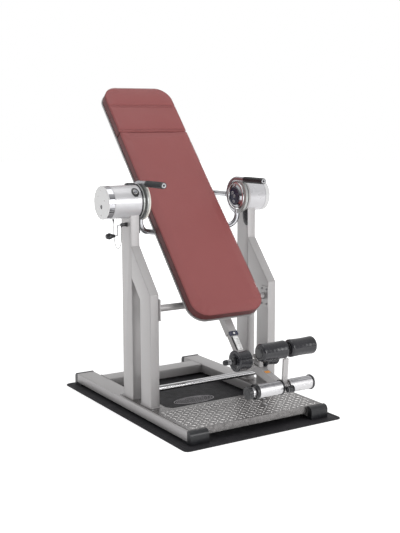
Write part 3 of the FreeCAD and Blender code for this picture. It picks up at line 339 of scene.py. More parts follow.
CAD_FINISH = {
    "silver": ["spine_tube", "leg_tube", "hub_flange_right", "ankle_lever", "pad_tray", "upper_cross_tube"],
    "chrome": ["lower_cross_tube"],
    "band_plating": ["motor_band", "dial_bezel"],
    "pipe": ["handle_bar_left", "handle_bar_right", "upper_yoke", "lower_yoke"],
    "pearl": ["motor_housing", "control_housing"],
    "disc": ["drive_hub", "idler_hub", "hub_flange_left"],
    "cap": ["motor_end_cap", "control_end_cap"],
    "gear": ["gear_motor", "motor_pinion", "frame_bolts", "crank_arm"],
    "foot": ["foot_rest_bar"],
    "tread": ["tread_plate"],
    "rubber": ["lead_gland", "foot_rest_knob"],
    "grip": ["grip_left", "grip_right"],
    "plastic": ["switch_panel", "mains_switch_frame", "mains_rocker", "crank_grip",
                "crank_holder"],
    "blue": ["dial_face", "slide_collar"],
    "white": ["height_lock_button", "height_scale"],
    "grey": ["start_button", "dial_button_up", "dial_button_down", "dial_button_stop"],
}


def finish_cad_nodes():
    for finish, nodes in CAD_FINISH.items():
        for name in nodes:
            mesh = frame["nodes"][name].data
            mesh.materials.clear()
            mesh.materials.append(M[finish])


# ---------------------------------------------------------------- mesh helpers
def add_piece(name, mesh, body, finish, smooth=True):
    for polygon in mesh.polygons:
        polygon.use_smooth = smooth
    piece = bpy.data.objects.new(name, mesh)
    bpy.context.scene.collection.objects.link(piece)
    mesh.materials.clear()
    mesh.materials.append(M[finish])
    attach(piece, body)
    return piece


def mesh_from(name, vertices, faces):
    mesh = bpy.data.meshes.new(name)
    mesh.from_pydata(vertices, [], faces)
    mesh.validate()
    mesh.update()
    return mesh


def lathe_points(profile, steps, place):
    """Turns (along, radius) points about X. place maps the result into the row frame."""
    vertices = []
    for along, radius in profile:
        for step in range(steps):
            angle = 2 * math.pi * step / steps
            vertices.append(place @ Vector((along, radius * math.cos(angle), radius * math.sin(angle))))
    faces = []
    for row in range(len(profile) - 1):
        for step in range(steps):
            ahead = (step + 1) % steps
            a = row * steps
            faces.append((a + step, a + ahead, a + steps + ahead, a + steps + step))
    return vertices, faces


def lathe(name, profile, place, body, finish, steps=64, closed=True):
    """A turned piece. A closed profile joins its last point to its first, so it is a ring with a hole."""
    rows = list(profile) + ([profile[0]] if closed else [])
    vertices, faces = lathe_points(rows, steps, place)
    mesh = mesh_from(name, vertices, faces)
    work = bmesh.new()
    work.from_mesh(mesh)
    bmesh.ops.remove_doubles(work, verts=work.verts, dist=1e-6)
    if not closed:
        bmesh.ops.holes_fill(work, edges=work.edges, sides=0)
    bmesh.ops.recalc_face_normals(work, faces=work.faces)
    work.to_mesh(mesh)
    work.free()
    return add_piece(name, mesh, body, finish)


def rounded_profile(low, high, inner, outer, fillet, steps=5):
    """Ring section from low to high along the axis, its outer corners rounded."""
    points = [(low, inner)]
    points += [(low + fillet * (1 - math.cos(math.pi / 2 * step / steps)),
                   outer - fillet * (1 - math.sin(math.pi / 2 * step / steps))) for step in range(steps + 1)]
    points += [(high - fillet * (1 - math.sin(math.pi / 2 * step / steps)),
                outer - fillet * (1 - math.cos(math.pi / 2 * step / steps))) for step in range(steps + 1)]
    return points + [(high, inner)]


def tube_mesh(name, path, radius, sides=10, closed=False, wobble=0.0, ripple=0.0):
    """A round bead along points, with its thickness rippling like a weld when asked."""
    count = len(path)
    vertices = []
    up = Vector((0.13, 0.21, 0.97)).normalized()
    for index, point in enumerate(path):
        before = path[(index - 1) % count] if closed or index else path[0]
        after = path[(index + 1) % count] if closed or index < count - 1 else path[-1]
        along = (after - before).normalized()
        side = along.cross(up)
        if side.length < 0.2:
            side = along.cross(Vector((0, 1, 0)))
        side.normalize()
        top = side.cross(along).normalized()
        swell = 1 + wobble * noise.noise(point * 160) + ripple * math.cos(index * math.pi / 2)
        for step in range(sides):
            angle = 2 * math.pi * step / sides
            vertices.append(point + (side * math.cos(angle) + top * math.sin(angle)) * radius * swell)
    faces = []
    for row in range(count if closed else count - 1):
        ahead = (row + 1) % count
        for step in range(sides):
            beside = (step + 1) % sides
            faces.append((row * sides + step, row * sides + beside, ahead * sides + beside,
                          ahead * sides + step))
    if not closed:
        faces.append(tuple(range(sides)))
        faces.append(tuple(reversed(range((count - 1) * sides, count * sides))))
    return mesh_from(name, vertices, faces)


def ring_mesh(name, rings):
    """A closed mesh skinned over rings of points, with a face across each end."""
    work = bmesh.new()
    rows = [[work.verts.new(point) for point in ring] for ring in rings]
    for first, second in zip(rows, rows[1:]):
        for index in range(len(first)):
            ahead = (index + 1) % len(first)
            work.faces.new((first[index], first[ahead], second[ahead], second[index]))
    work.faces.new(rows[-1])
    work.faces.new(list(reversed(rows[0])))
    bmesh.ops.recalc_face_normals(work, faces=work.faces)
    mesh = bpy.data.meshes.new(name)
    work.to_mesh(mesh)
    work.free()
    return mesh


def join_meshes(name, meshes):
    work = bmesh.new()
    for mesh in meshes:
        work.from_mesh(mesh)
        bpy.data.meshes.remove(mesh)
    bmesh.ops.recalc_face_normals(work, faces=work.faces)
    joined = bpy.data.meshes.new(name)
    work.to_mesh(joined)
    work.free()
    return joined


def rounded_box_mesh(name, low, high, fillet, segments=3):
    work = bmesh.new()
    bmesh.ops.create_cube(work, size=1)
    for vertex in work.verts:
        vertex.co = Vector([low[axis] + (vertex.co[axis] + 0.5) * (high[axis] - low[axis]) for axis in range(3)])
    bmesh.ops.bevel(work, geom=work.edges[:], offset=fillet, segments=segments, profile=0.5, affect="EDGES")
    mesh = bpy.data.meshes.new(name)
    work.to_mesh(mesh)
    work.free()
    return mesh


def softened(name, node, body, finish, width, shortest, segments=3):
    """The CAD node's own shape with its long outer corners rolled, as drawn tube and moulded rubber have."""
    work = bmesh.new()
    work.from_mesh(frame["nodes"][node].data)
    bmesh.ops.remove_doubles(work, verts=work.verts, dist=1e-6)
    bmesh.ops.dissolve_limit(work, angle_limit=math.radians(1), verts=work.verts, edges=work.edges)
    chosen = [edge for edge in work.edges if len(edge.link_faces) == 2 and edge.is_convex
              and edge.calc_length() > shortest and edge.calc_face_angle() > math.radians(25)]
    bmesh.ops.bevel(work, geom=chosen, offset=width, segments=segments, profile=0.5, affect="EDGES",
                    clamp_overlap=True)
    mesh = bpy.data.meshes.new(name)
    work.to_mesh(mesh)
    work.free()
    piece = add_piece(name, mesh, body, finish)
    smooth_by_angle(piece, 35)
    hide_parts(node)
    return piece


def smooth_by_angle(piece, degrees):
    """Flat where faces meet at more than this, smooth elsewhere."""
    work = bmesh.new()
    work.from_mesh(piece.data)
    for edge in work.edges:
        edge.smooth = len(edge.link_faces) == 2 and edge.calc_face_angle() < math.radians(degrees)
    work.to_mesh(piece.data)
    work.free()


def make_frame_tubes():
    for node in ("rail_left", "rail_right", "rear_crossmember", "rear_post_left", "rear_post_right",
                 "front_post_left", "front_post_right"):
        softened(node + "_tube", node, "base", "silver", 0.0042, 0.12)
    softened("rubber_corner_feet", "rubber_feet", "base", "rubber", 0.0045, 0.022)


def rounded_outline(half, low, high, corner_low, corner_high, step):
    """Points round the pad's outline in the table frame's XZ plane, about step apart, anticlockwise."""
    points = []

    def run(ax, az, bx, bz):
        count = max(1, round(math.hypot(bx - ax, bz - az) / step))
        for index in range(count):
            share = index / count
            points.append((ax + (bx - ax) * share, az + (bz - az) * share))

    def turn(cx, cz, radius, start):
        count = max(3, round(radius * math.pi / 2 / step))
        for index in range(count):
            angle = start + math.pi / 2 * index / count
            points.append((cx + radius * math.cos(angle), cz + radius * math.sin(angle)))

    run(-half + corner_low, low, half - corner_low, low)
    turn(half - corner_low, low + corner_low, corner_low, -math.pi / 2)
    run(half, low + corner_low, half, high - corner_high)
    turn(half - corner_high, high - corner_high, corner_high, 0)
    run(half - corner_high, high, -half + corner_high, high)
    turn(-half + corner_high, high - corner_high, corner_high, math.pi / 2)
    run(-half, high - corner_high, -half, low + corner_low)
    turn(-half + corner_low, low + corner_low, corner_low, math.pi)
    return points


# ---------------------------------------------------------------- pad
PAD_LOW, PAD_HIGH = table_box("back_cushion")
HEAD_LOW, HEAD_HIGH = table_box("head_cushion")
TRAY_LOW, TRAY_HIGH = table_box("pad_tray")
PAD_FACE = PAD_LOW.y
PAD_BACK = PAD_HIGH.y
PAD_CORNER = 0.086
SPLIT_CORNER = 0.008


def swell(piece, held, pressure, cap):
    """Cloth pressure crowns the cover between what holds it. No point moves further than cap."""
    group = piece.vertex_groups.new(name="held")
    for vertex in piece.data.vertices:
        weight = held(vertex.co)
        if weight > 0:
            group.add([vertex.index], weight, "REPLACE")
    before = [vertex.co.copy() for vertex in piece.data.vertices]
    cloth = piece.modifiers.new("cover", "CLOTH")
    cloth.settings.quality = 4
    cloth.settings.mass = 0.4
    cloth.settings.tension_stiffness = 30
    cloth.settings.compression_stiffness = 30
    cloth.settings.shear_stiffness = 20
    cloth.settings.bending_stiffness = 6
    cloth.settings.use_pressure = True
    cloth.settings.uniform_pressure_force = pressure
    cloth.settings.effector_weights.gravity = 0
    cloth.settings.vertex_group_mass = "held"
    cloth.collision_settings.use_self_collision = False
    cloth.point_cache.frame_start = 1
    cloth.point_cache.frame_end = 20
    scene = bpy.context.scene
    for number in range(1, 21):
        scene.frame_set(number)
    graph = bpy.context.evaluated_depsgraph_get()
    swollen = [vertex.co.copy() for vertex in piece.evaluated_get(graph).data.vertices]
    piece.modifiers.remove(cloth)
    scene.frame_set(1)
    for vertex, start, end in zip(piece.data.vertices, before, swollen):
        move = end - start
        if move.length > cap:
            move = move.normalized() * cap
        vertex.co = start + move


def cushion(name, low, high, corner_low, corner_high, seams, node):
    """A boxed cushion: flat front panel, side band, and sewn lines across it, crowned by cloth pressure."""
    face = PAD_FACE + 0.0035
    back = PAD_BACK
    half = PAD_HIGH.x - 0.0008
    edge = 0.006
    rings = []
    outline = rounded_outline(half, low, high, corner_low, corner_high, 0.008)
    for inset, depth in ((edge, face), (edge * 0.29, face + edge * 0.29), (0, face + edge), (0, back - 0.003),
                         (0.003, back)):
        ring = []
        for x, z in outline:
            middle_x = max(-half + max(corner_low, 0.02), min(half - max(corner_low, 0.02), x))
            middle_z = max(low + max(corner_low, 0.02), min(high - max(corner_high, 0.02), z))
            inward = Vector((middle_x - x, 0, middle_z - z))
            inward = inward.normalized() * inset if inward.length > 0 else inward
            ring.append((x + inward.x, depth, z + inward.z))
        rings.append(ring)
    piece = bpy.data.objects.new(name, ring_mesh(name, rings))
    bpy.context.scene.collection.objects.link(piece)
    bpy.context.view_layer.objects.active = piece
    remesh = piece.modifiers.new("even", "REMESH")
    remesh.mode = "VOXEL"
    remesh.voxel_size = 0.0065
    bpy.ops.object.modifier_apply(modifier=remesh.name)

    def held(point):
        if point.y > back - 0.012:
            return 1.0
        near_edge = point.y > face + 0.004
        if near_edge:
            return 0.75
        for seam in seams:
            if abs(point.z - seam) < 0.006:
                return 0.9
        return 0.0

    swell(piece, held, 4.0, 0.0075)
    divide = piece.modifiers.new("fine", "SUBSURF")
    divide.levels = 1
    bpy.ops.object.modifier_apply(modifier=divide.name)
    for vertex in piece.data.vertices:
        point = vertex.co
        front = max(0.0, min(1.0, (face + 0.012 - point.y) / 0.012))
        dip = 0.0
        for seam in seams:
            dip = max(dip, math.exp(-((point.z - seam) / 0.0032) ** 2))
        pucker = 0.35 + 0.65 * (0.5 + 0.5 * math.sin(point.x * 2 * math.pi / 0.021))
        for seam in seams:
            away = abs(point.z - seam)
            if away > 0.002:
                point.y += front * 0.00035 * pucker * math.exp(-(away / 0.009) ** 2)
        point.y += front * 0.0030 * dip
        soft = noise.noise(Vector((point.x * 6, 3.1, point.z * 4)))
        point.y += front * 0.0008 * soft
    piece.data.materials.clear()
    piece.data.materials.append(M["hide"])
    # The second slot is the darker copy: painted shade on the side band and back.
    piece.data.materials.append(M["band"])
    for polygon in piece.data.polygons:
        polygon.use_smooth = True
        polygon.material_index = 1 if polygon.center.y > face + edge + 0.002 else 0
    piece.data.transform(TABLE)
    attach(piece, "table")
    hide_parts(node)
    return piece


HEAD_SEAMS = (0.684, 0.672)
STITCH_LINE = HEAD_LOW.z + 0.013


def make_cushions():
    cushion("back_cushion_cover", PAD_LOW.z, PAD_HIGH.z, PAD_CORNER, SPLIT_CORNER, (), "back_cushion")
    cushion("head_cushion_cover", HEAD_LOW.z, HEAD_HIGH.z, SPLIT_CORNER, PAD_CORNER,
            (*HEAD_SEAMS, STITCH_LINE), "head_cushion")


def make_piping():
    """The welt sewn between the front panel and the side band."""
    for name, low, high, corner_low, corner_high in (
            ("back_cushion_welt", PAD_LOW.z, PAD_HIGH.z, PAD_CORNER, SPLIT_CORNER),
            ("head_cushion_welt", HEAD_LOW.z, HEAD_HIGH.z, SPLIT_CORNER, PAD_CORNER)):
        path = [TABLE @ Vector((x, PAD_FACE + 0.0078, z)) for x, z in
                rounded_outline(PAD_HIGH.x - 0.0018, low + 0.0007, high - 0.0007, corner_low, corner_high,
                                0.006)]
        mesh = tube_mesh(name, path, 0.0011, 8, closed=True, wobble=0.08)
        add_piece(name, mesh, "table", "hide")


def make_stitches():
    """Thread dashes along each sewn line, and round the front panel beside the welt."""
    dashes = []
    length = 0.0042
    pitch = 0.0062
    reach = PAD_HIGH.x - 0.016
    for line in (*HEAD_SEAMS, STITCH_LINE):
        for index in range(int(2 * reach / pitch)):
            x = -reach + pitch * (index + 0.5)
            depth = PAD_FACE + 0.0035
            start = Vector((x - length / 2, depth + 0.0006, line + 0.0022))
            middle = Vector((x, depth - 0.0002, line + 0.0022))
            end = Vector((x + length / 2, depth + 0.0006, line + 0.0022))
            dashes.append(tube_mesh("dash", [TABLE @ point for point in (start, middle, end)], 0.0005, 6))
    add_piece("pad_stitches", join_meshes("pad_stitches", dashes), "table", "thread")


def make_cushion_back():
    """Dark backing board and its screws, sunk into the silver tray as seen from behind."""
    half = TRAY_HIGH.x - 0.016
    back = TRAY_HIGH.y
    outline = rounded_outline(half, TRAY_LOW.z + 0.016, TRAY_HIGH.z - 0.016, 0.072, 0.072, 0.012)
    rings = [[TABLE @ Vector((x, depth, z)) for x, z in outline] for depth in (back - 0.001, back + 0.0016)]
    mesh = ring_mesh("pad_back_board", rings)
    add_piece("pad_back_board", mesh, "table", "plastic", smooth=False)
    for side in (-1, 1):
        for row in range(5):
            z = TRAY_LOW.z + 0.10 + row * (TRAY_HIGH.z - TRAY_LOW.z - 0.20) / 4
            place = TABLE @ Matrix.Translation((side * (half - 0.030), back + 0.0015, z)) @ Matrix.Rotation(
                math.pi / 2, 4, "Z")
            name = "board_screw_%s_%d" % ("left" if side < 0 else "right", row + 1)
            lathe(name, [(0.0, 0.0), (0.0, 0.0055), (0.0012, 0.0052), (0.0022, 0.0035), (0.0023, 0.0018),
                         (0.0012, 0.0016), (0.0012, 0.0)], place, "table", "steel", 20,
                         closed=False)


# ---------------------------------------------------------------- cord
# The lead from the motor drum to the crank holder: the CAD tube's own points, from the tilt axis, in mm.
LEAD_POINTS = [(-437, 12, -91), (-437, 12, -135), (-434, 10, -180), (-430, 8, -212), (-422, 3, -229),
               (-413, -3, -229), (-406, -6, -211), (-403, -8, -172), (-403, -8, -124)]


def make_lead():
    data = bpy.data.curves.new("crank_lead", "CURVE")
    data.dimensions = "3D"
    spline = data.splines.new("NURBS")
    spline.points.add(len(LEAD_POINTS) - 1)
    for point, place in zip(spline.points, LEAD_POINTS):
        point.co = (*(AXIS + Vector(place) * MM), 1)
    spline.order_u = 3
    spline.use_endpoint_u = True
    spline.resolution_u = 12
    data.bevel_depth = 0.0015
    data.bevel_resolution = 4
    data.use_fill_caps = True
    data.materials.append(M["lead"])
    lead = bpy.data.objects.new("crank_lead", data)
    bpy.context.scene.collection.objects.link(lead)
    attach(lead, "base")
    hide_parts("holder_lead")


def make_strain_relief():
    """Ribbed sleeve where the lead leaves its gland."""
    exit_point = AXIS + Vector(LEAD_POINTS[0]) * MM
    place = Matrix.Translation(exit_point) @ Matrix.Rotation(math.pi / 2, 4, "Y")
    profile = [(-0.001, 0.0016)]
    for rib in range(5):
        start = rib * 0.0026
        big = 0.0040 - rib * 0.0004
        profile += [(start - 0.0008, big), (start + 0.0010, big), (start + 0.0013, big - 0.0008),
                    (start + 0.0018, big - 0.0008)]
    profile.append((0.0130, 0.0016))
    lathe("lead_strain_relief", profile, place, "base", "rubber", 24)


# ---------------------------------------------------------------- base
def make_mat():
    low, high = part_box("floor_mat")
    thick = high.z - low.z
    centre = (low + high) / 2
    half_x = (high.x - low.x) / 2
    half_y = (high.y - low.y) / 2
    rings = []
    for inset, z in ((0.0006, 0.0), (0.0, 0.0012), (0.0, thick - 0.0022), (0.0022, thick),
                     (0.014, thick), (0.0155, thick - 0.0011), (0.0175, thick - 0.0011), (0.019, thick)):
        corner = 0.024 - min(inset, 0.018)
        ring = []
        for x, y in rounded_outline(half_x - inset, -half_y + inset, half_y - inset, corner, corner, 0.03):
            ring.append((centre.x + x, centre.y + y, low.z + z))
        rings.append(ring)
    mat = add_piece("mat_sheet", ring_mesh("mat_sheet", rings), "base", "mat", smooth=False)
    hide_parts("floor_mat")
    top = high.z
    rows = []
    for across, along, width in ((0.117, 0.050, 0.0028), (0.104, 0.039, 0.0018)):
        path = [Vector((-0.007 + across * math.cos(2 * math.pi * step / 96),
                        -0.040 + along * math.sin(2 * math.pi * step / 96), top)) for step in range(96)]
        rows.append(tube_mesh("ring", path, width, 8, closed=True))
    for row in range(-3, 4):
        reach = 0.098 * math.sqrt(max(0.0, 1 - (row * 0.0095 / 0.036) ** 2))
        for step in range(int(2 * reach / 0.0125)):
            x = -0.007 - reach + 0.0125 * (step + 0.5)
            y = -0.040 + row * 0.0095
            rows.append(rounded_box_mesh("bar", (x - 0.0045, y - 0.0016, top - 0.001),
                                         (x + 0.0045, y + 0.0016, top + 0.0009), 0.0007, 2))
    add_piece("mat_emblem", join_meshes("mat_emblem", rows), "base", "emblem")


def lozenge_mesh(centre, angle, length, width, height):
    """One raised lens of the tread pattern."""
    steps = 10
    vertices = []
    for level, share in ((0.0, 1.0), (0.55, 0.80), (0.92, 0.45)):
        for step in range(steps):
            turn = 2 * math.pi * step / steps
            along = math.cos(turn) * length / 2 * (0.75 + 0.25 * share) * share
            across = math.sin(turn) * abs(math.sin(turn)) ** 0.3 * width / 2 * share
            x = along * math.cos(angle) - across * math.sin(angle)
            y = along * math.sin(angle) + across * math.cos(angle)
            vertices.append(centre + Vector((x, y, level * height)))
    vertices.append(centre + Vector((0, 0, height)))
    faces = [tuple(reversed(range(steps)))]
    for row in range(2):
        for step in range(steps):
            ahead = (step + 1) % steps
            faces.append((row * steps + step, row * steps + ahead, (row + 1) * steps + ahead,
                          (row + 1) * steps + step))
    for step in range(steps):
        faces.append((2 * steps + step, 2 * steps + (step + 1) % steps, 3 * steps))
    return vertices, faces


def make_lozenges():
    low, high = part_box("tread_plate")
    top = high.z - 0.0002
    pitch = 0.0265
    depth = 0.326
    columns = int((high.x - low.x - 0.02) / pitch)
    rows = int((depth - 0.016) / pitch)
    bolt_spots = [Vector(spot) for spot in ((0.190, -0.392), (0.140, -0.478), (0.379, -0.262), (-0.379, -0.262),
                                            (0.376, -0.560), (-0.376, -0.560))]
    vertices = []
    faces = []
    for column in range(columns):
        for row in range(rows):
            x = low.x + 0.010 + pitch * (column + 0.5) + (high.x - low.x - 0.02 - columns * pitch) / 2
            y = low.y + 0.008 + pitch * (row + 0.5)
            if any((Vector((x, y)) - spot).length < 0.022 for spot in bolt_spots):
                continue
            tilt = math.pi / 4 if (column + row) % 2 else -math.pi / 4
            made, sides = lozenge_mesh(Vector((x, y, top)), tilt, 0.0255, 0.0080, 0.0022)
            start = len(vertices)
            vertices += made
            faces += [tuple(start + index for index in face) for face in sides]
    add_piece("tread_lozenges", mesh_from("tread_lozenges", vertices, faces), "base", "lozenge")


def make_post_welds():
    """A weld bead round the foot of each post."""
    beads = []
    for node in ("rear_post_left", "rear_post_right", "front_post_left", "front_post_right"):
        low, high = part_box(node)
        depth = min(high.y, low.y + 0.1) if node.startswith("front") else high.y
        corners = [(low.x, low.y), (high.x, low.y), (high.x, depth), (low.x, depth)]
        path = []
        for index, (x, y) in enumerate(corners):
            next_x, next_y = corners[(index + 1) % 4]
            count = round(math.hypot(next_x - x, next_y - y) / 0.0022)
            path += [Vector((x + (next_x - x) * step / count, y + (next_y - y) * step / count, low.z + 0.0005))
                     for step in range(count)]
        beads.append(tube_mesh("bead", path, 0.0030, 8, closed=True, wobble=0.35, ripple=0.10))
    add_piece("post_welds", join_meshes("post_welds", beads), "base", "silver")


# ---------------------------------------------------------------- feet and rollers
def roller_profile(low, high, big, neck, wrinkles):
    """Foam roller from low to high along X: full ends, a slightly slimmer waist and soft wrinkles."""
    points = [(low, 0.0085), (low + 0.0005, 0.020)]
    steps = 60
    span = high - low
    for step in range(steps + 1):
        share = step / steps
        along = low + span * share
        from_end = min(share, 1 - share) * span
        round_off = math.sqrt(max(0.0, 1 - (1 - min(1.0, from_end / 0.013)) ** 2))
        waist = 1 - neck * math.sin(math.pi * share) ** 2
        ripple = wrinkles * math.sin(share * 43 + 1.3) * math.sin(math.pi * share)
        points.append((along, (0.020 + (big - 0.020) * round_off) * waist + ripple))
    return points + [(high - 0.0005, 0.020), (high, 0.0085)]


PIVOT = Vector(JOINTS["ankle_clamp"]["pos_m"])
CUP_AXIS = Vector(JOINTS["ankle_cup_left_turn"]["pos_m"])


def make_rollers():
    for name in ("roller_left", "roller_right"):
        low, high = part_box(name)
        place = Matrix.Translation(Vector(JOINTS[name + "_turn"]["pos_m"]))
        piece = lathe(name + "_foam", roller_profile(low.x, high.x, (high.z - low.z) / 2, 0.045, 0.00012),
                      place, name, "foam", 72)
        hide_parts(name)
        way = -1 if name.endswith("left") else 1
        outer = low.x if way < 0 else high.x
        # A cup: its bore clears the spindle's end, which stops short of the closed face.
        disc = [(outer - way * 0.0040, 0.0095), (outer - way * 0.0040, 0.026), (outer + way * 0.0002, 0.026),
                (outer + way * 0.0030, 0.024), (outer + way * 0.0042, 0.018), (outer + way * 0.0042, 0.0),
                (outer + way * 0.0028, 0.0), (outer + way * 0.0028, 0.0095)]
        lathe(name + "_end_disc", disc, place, name, "plastic", 48)


def make_cups():
    """Moulded spools: a thick flange with a stepped face, a waist, and a slight flare at the other end."""
    for name in ("ankle_cup_left", "ankle_cup_right"):
        low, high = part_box(name)
        start = low.x
        end = high.x
        flange = (high.z - low.z) / 2
        profile = [(start + 0.002, 0.0085), (start + 0.002, flange * 0.62), (start, flange * 0.66),
                   (start, flange - 0.004), (start + 0.0012, flange - 0.001), (start + 0.003, flange),
                   (start + 0.0075, flange - 0.0004), (start + 0.0090, flange - 0.0020),
                   (start + 0.0105, flange - 0.0060)]
        steps = 36
        first = start + 0.0120
        span = end - 0.003 - first
        for step in range(steps + 1):
            share = step / steps
            radius = 0.0398 + 0.0045 * share ** 2
            profile.append((first + span * share, radius))
        profile += [(end - 0.001, 0.0440), (end, 0.0425), (end, 0.0360), (end - 0.004, 0.0340),
                    (end - 0.004, 0.0085)]
        place = Matrix.Translation(Vector(JOINTS[name + "_turn"]["pos_m"]))
        piece = lathe(name + "_moulding", profile, place, name, "cup", 72)
        smooth_by_angle(piece, 50)
        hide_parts(name)


def make_cup_axle():
    """Rod, locking collar, nut and rubber tip in their own finishes."""
    low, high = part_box("cup_axle")
    place = Matrix.Translation(CUP_AXIS)
    end = low.x
    tip = [(end, 0.0), (end, 0.0085), (end + 0.002, 0.0110), (end + 0.016, 0.0138), (end + 0.018, 0.0130),
           (end + 0.018, 0.0)]
    nut = [(end + 0.018, 0.0), (end + 0.018, 0.0115), (end + 0.0195, 0.0130), (end + 0.0265, 0.0130),
           (end + 0.0275, 0.0118), (end + 0.0295, 0.0118), (end + 0.0305, 0.0130), (end + 0.0405, 0.0130),
           (end + 0.0415, 0.0115), (end + 0.0415, 0.0)]
    collar = [(end + 0.0415, 0.0), (end + 0.0415, 0.0165), (end + 0.0430, 0.0180), (end + 0.0590, 0.0180),
              (end + 0.0605, 0.0165), (end + 0.0605, 0.0)]
    rod = [(end + 0.0605, 0.0), (end + 0.0605, 0.0080), (high.x - 0.0072, 0.0080), (high.x - 0.0070, 0.0128),
           (high.x - 0.0055, 0.0140), (high.x - 0.0020, 0.0140), (high.x, 0.0110), (high.x, 0.0)]
    shaft = lathe("cup_axle_rod", rod, place, "leg", "steel", 40, closed=False)
    lathe("cup_axle_collar", collar, place, "leg", "plastic", 40, closed=False)
    lathe("cup_axle_nut", nut, place, "leg", "gear", 40, closed=False)
    lathe("cup_axle_tip", tip, place, "leg", "rubber", 40, closed=False)
    smooth_by_angle(shaft, 50)
    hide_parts("cup_axle")


def make_foot_rest_trim():
    """Black end rings, the two grip grooves along each tube drawn as raised grey strips of painted shade, and the
    knob's face.
    """
    place = Matrix.Translation(PIVOT)
    half = 0.150
    for name, start, length in (("outer_left", -0.168, 0.016), ("inner_left", -0.0255, 0.007),
                                ("outer_right", half - 0.006, 0.007)):
        ring = rounded_profile(start, start + length, 0.0308, 0.0345, 0.0014, 3)
        lathe("foot_ring_" + name, ring, place, "leg", "rubber", 64)
    grooves = []
    # Grey strips standing in for the grooves: painted shade.
    for start, end in ((-half + 0.008, -0.028), (0.028, half - 0.009)):
        for degrees, wide in ((8, 0.0016), (26, 0.0022), (44, 0.0030)):
            angle = math.radians(degrees)
            out = Vector((0, -math.sin(angle), math.cos(angle)))
            path = [PIVOT + out * 0.0306 + Vector((start + (end - start) * step / 12, 0,
                                                   0)) for step in range(13)]
            grooves.append(tube_mesh("groove", path, wide / 2 + 0.0004, 8))
    add_piece("foot_rest_groove_shade", join_meshes("foot_rest_groove_shade", grooves), "leg", "grey")
    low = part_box("foot_rest_knob")[0]
    face = [(low.x + 0.002, 0.0), (low.x + 0.002, 0.0200), (low.x - 0.0006, 0.0190), (low.x - 0.0016, 0.0165),
            (low.x - 0.0006, 0.0140), (low.x + 0.0004, 0.0120), (low.x + 0.0004, 0.0)]
    lathe("foot_rest_knob_face", face, place, "foot_rest_knob", "plastic", 48, closed=False)


def make_lever_trim():
    """Rubber sleeve on the lever's foot peg."""
    place = Matrix.Translation(PIVOT + Vector((0, -0.047, 0)))
    profile = [(-0.0176, 0.0), (-0.0176, 0.0125), (-0.0160, 0.0152)]
    for rib in range(3):
        start = -0.0130 + rib * 0.0065
        profile += [(start, 0.0152), (start + 0.0008, 0.0147), (start + 0.0022, 0.0147),
                    (start + 0.0030, 0.0152)]
    profile += [(0.0100, 0.0152), (0.0104, 0.0162), (0.0135, 0.0162), (0.0146, 0.0140), (0.0146, 0.0)]
    lathe("foot_peg_sleeve", profile, place, "ankle_lever", "rubber", 48, closed=False)


def leg_slope():
    """Frame on the upper face of the leg tube's forward run: +Z down the tube, +Y out of its face."""
    bend = Vector((0, 0.1387, -0.841))
    foot = Vector((0, -0.047, -1.108))
    along = (foot - bend).normalized()
    out = along.cross(Vector((1, 0, 0)))
    turn = Matrix((Vector((1, 0, 0)), out, along)).transposed().to_4x4()
    return TABLE @ Matrix.Translation(bend + out * 0.0183) @ turn


def make_leg_labels():
    low, high = table_box("height_scale")
    face = low.y
    border = [rounded_box_mesh("border", (low.x - 0.0016, face - 0.0002, low.z),
                               (low.x + 0.0018, face + 0.0020, high.z),
                               0.0002, 1)]
    border.append(rounded_box_mesh("strip", (low.x - 0.0075, face + 0.0002, low.z + 0.002),
                                   (low.x - 0.0018, face + 0.0018, high.z - 0.002), 0.0002, 1))
    lines = int((high.z - low.z - 0.010) / 0.0068)
    for line in range(lines):
        z = low.z + 0.006 + line * 0.0068
        reach = 0.014 if line % 2 == 0 else 0.008
        border.append(rounded_box_mesh("tick", (high.x - 0.003 - reach, face - 0.0002, z),
                                       (high.x - 0.003, face + 0.0005, z + 0.0011), 0.0001, 1))
    marks = join_meshes("height_scale_marks", border)
    marks.transform(TABLE)
    add_piece("height_scale_marks", marks, "leg", "ink", smooth=False)
    place = leg_slope()
    label = rounded_box_mesh("blank_label", (-0.0155, -0.0002, 0.218), (0.0120, 0.0006, 0.236), 0.0002, 1)
    label.transform(place)
    add_piece("blank_label", label, "leg", "orange", smooth=False)


# ---------------------------------------------------------------- hubs
def black_half_oval(name, side):
    """Black half-oval plate on the inner face of a rear post, under its hub."""
    wall = side * 0.324
    steps = 40
    rings = []
    for depth, share in ((0.0, 1.0), (0.0022, 1.0), (0.0032, 0.93), (0.0034, 0.80)):
        ring = []
        for step in range(steps):
            angle = 2 * math.pi * step / steps
            y = max(-0.0495, -0.040 + 0.034 * share * math.cos(angle))
            ring.append((wall - side * depth, y, 0.962 + 0.055 * share * math.sin(angle)))
        rings.append(ring)
    add_piece(name, ring_mesh(name, rings), "base", "plastic")


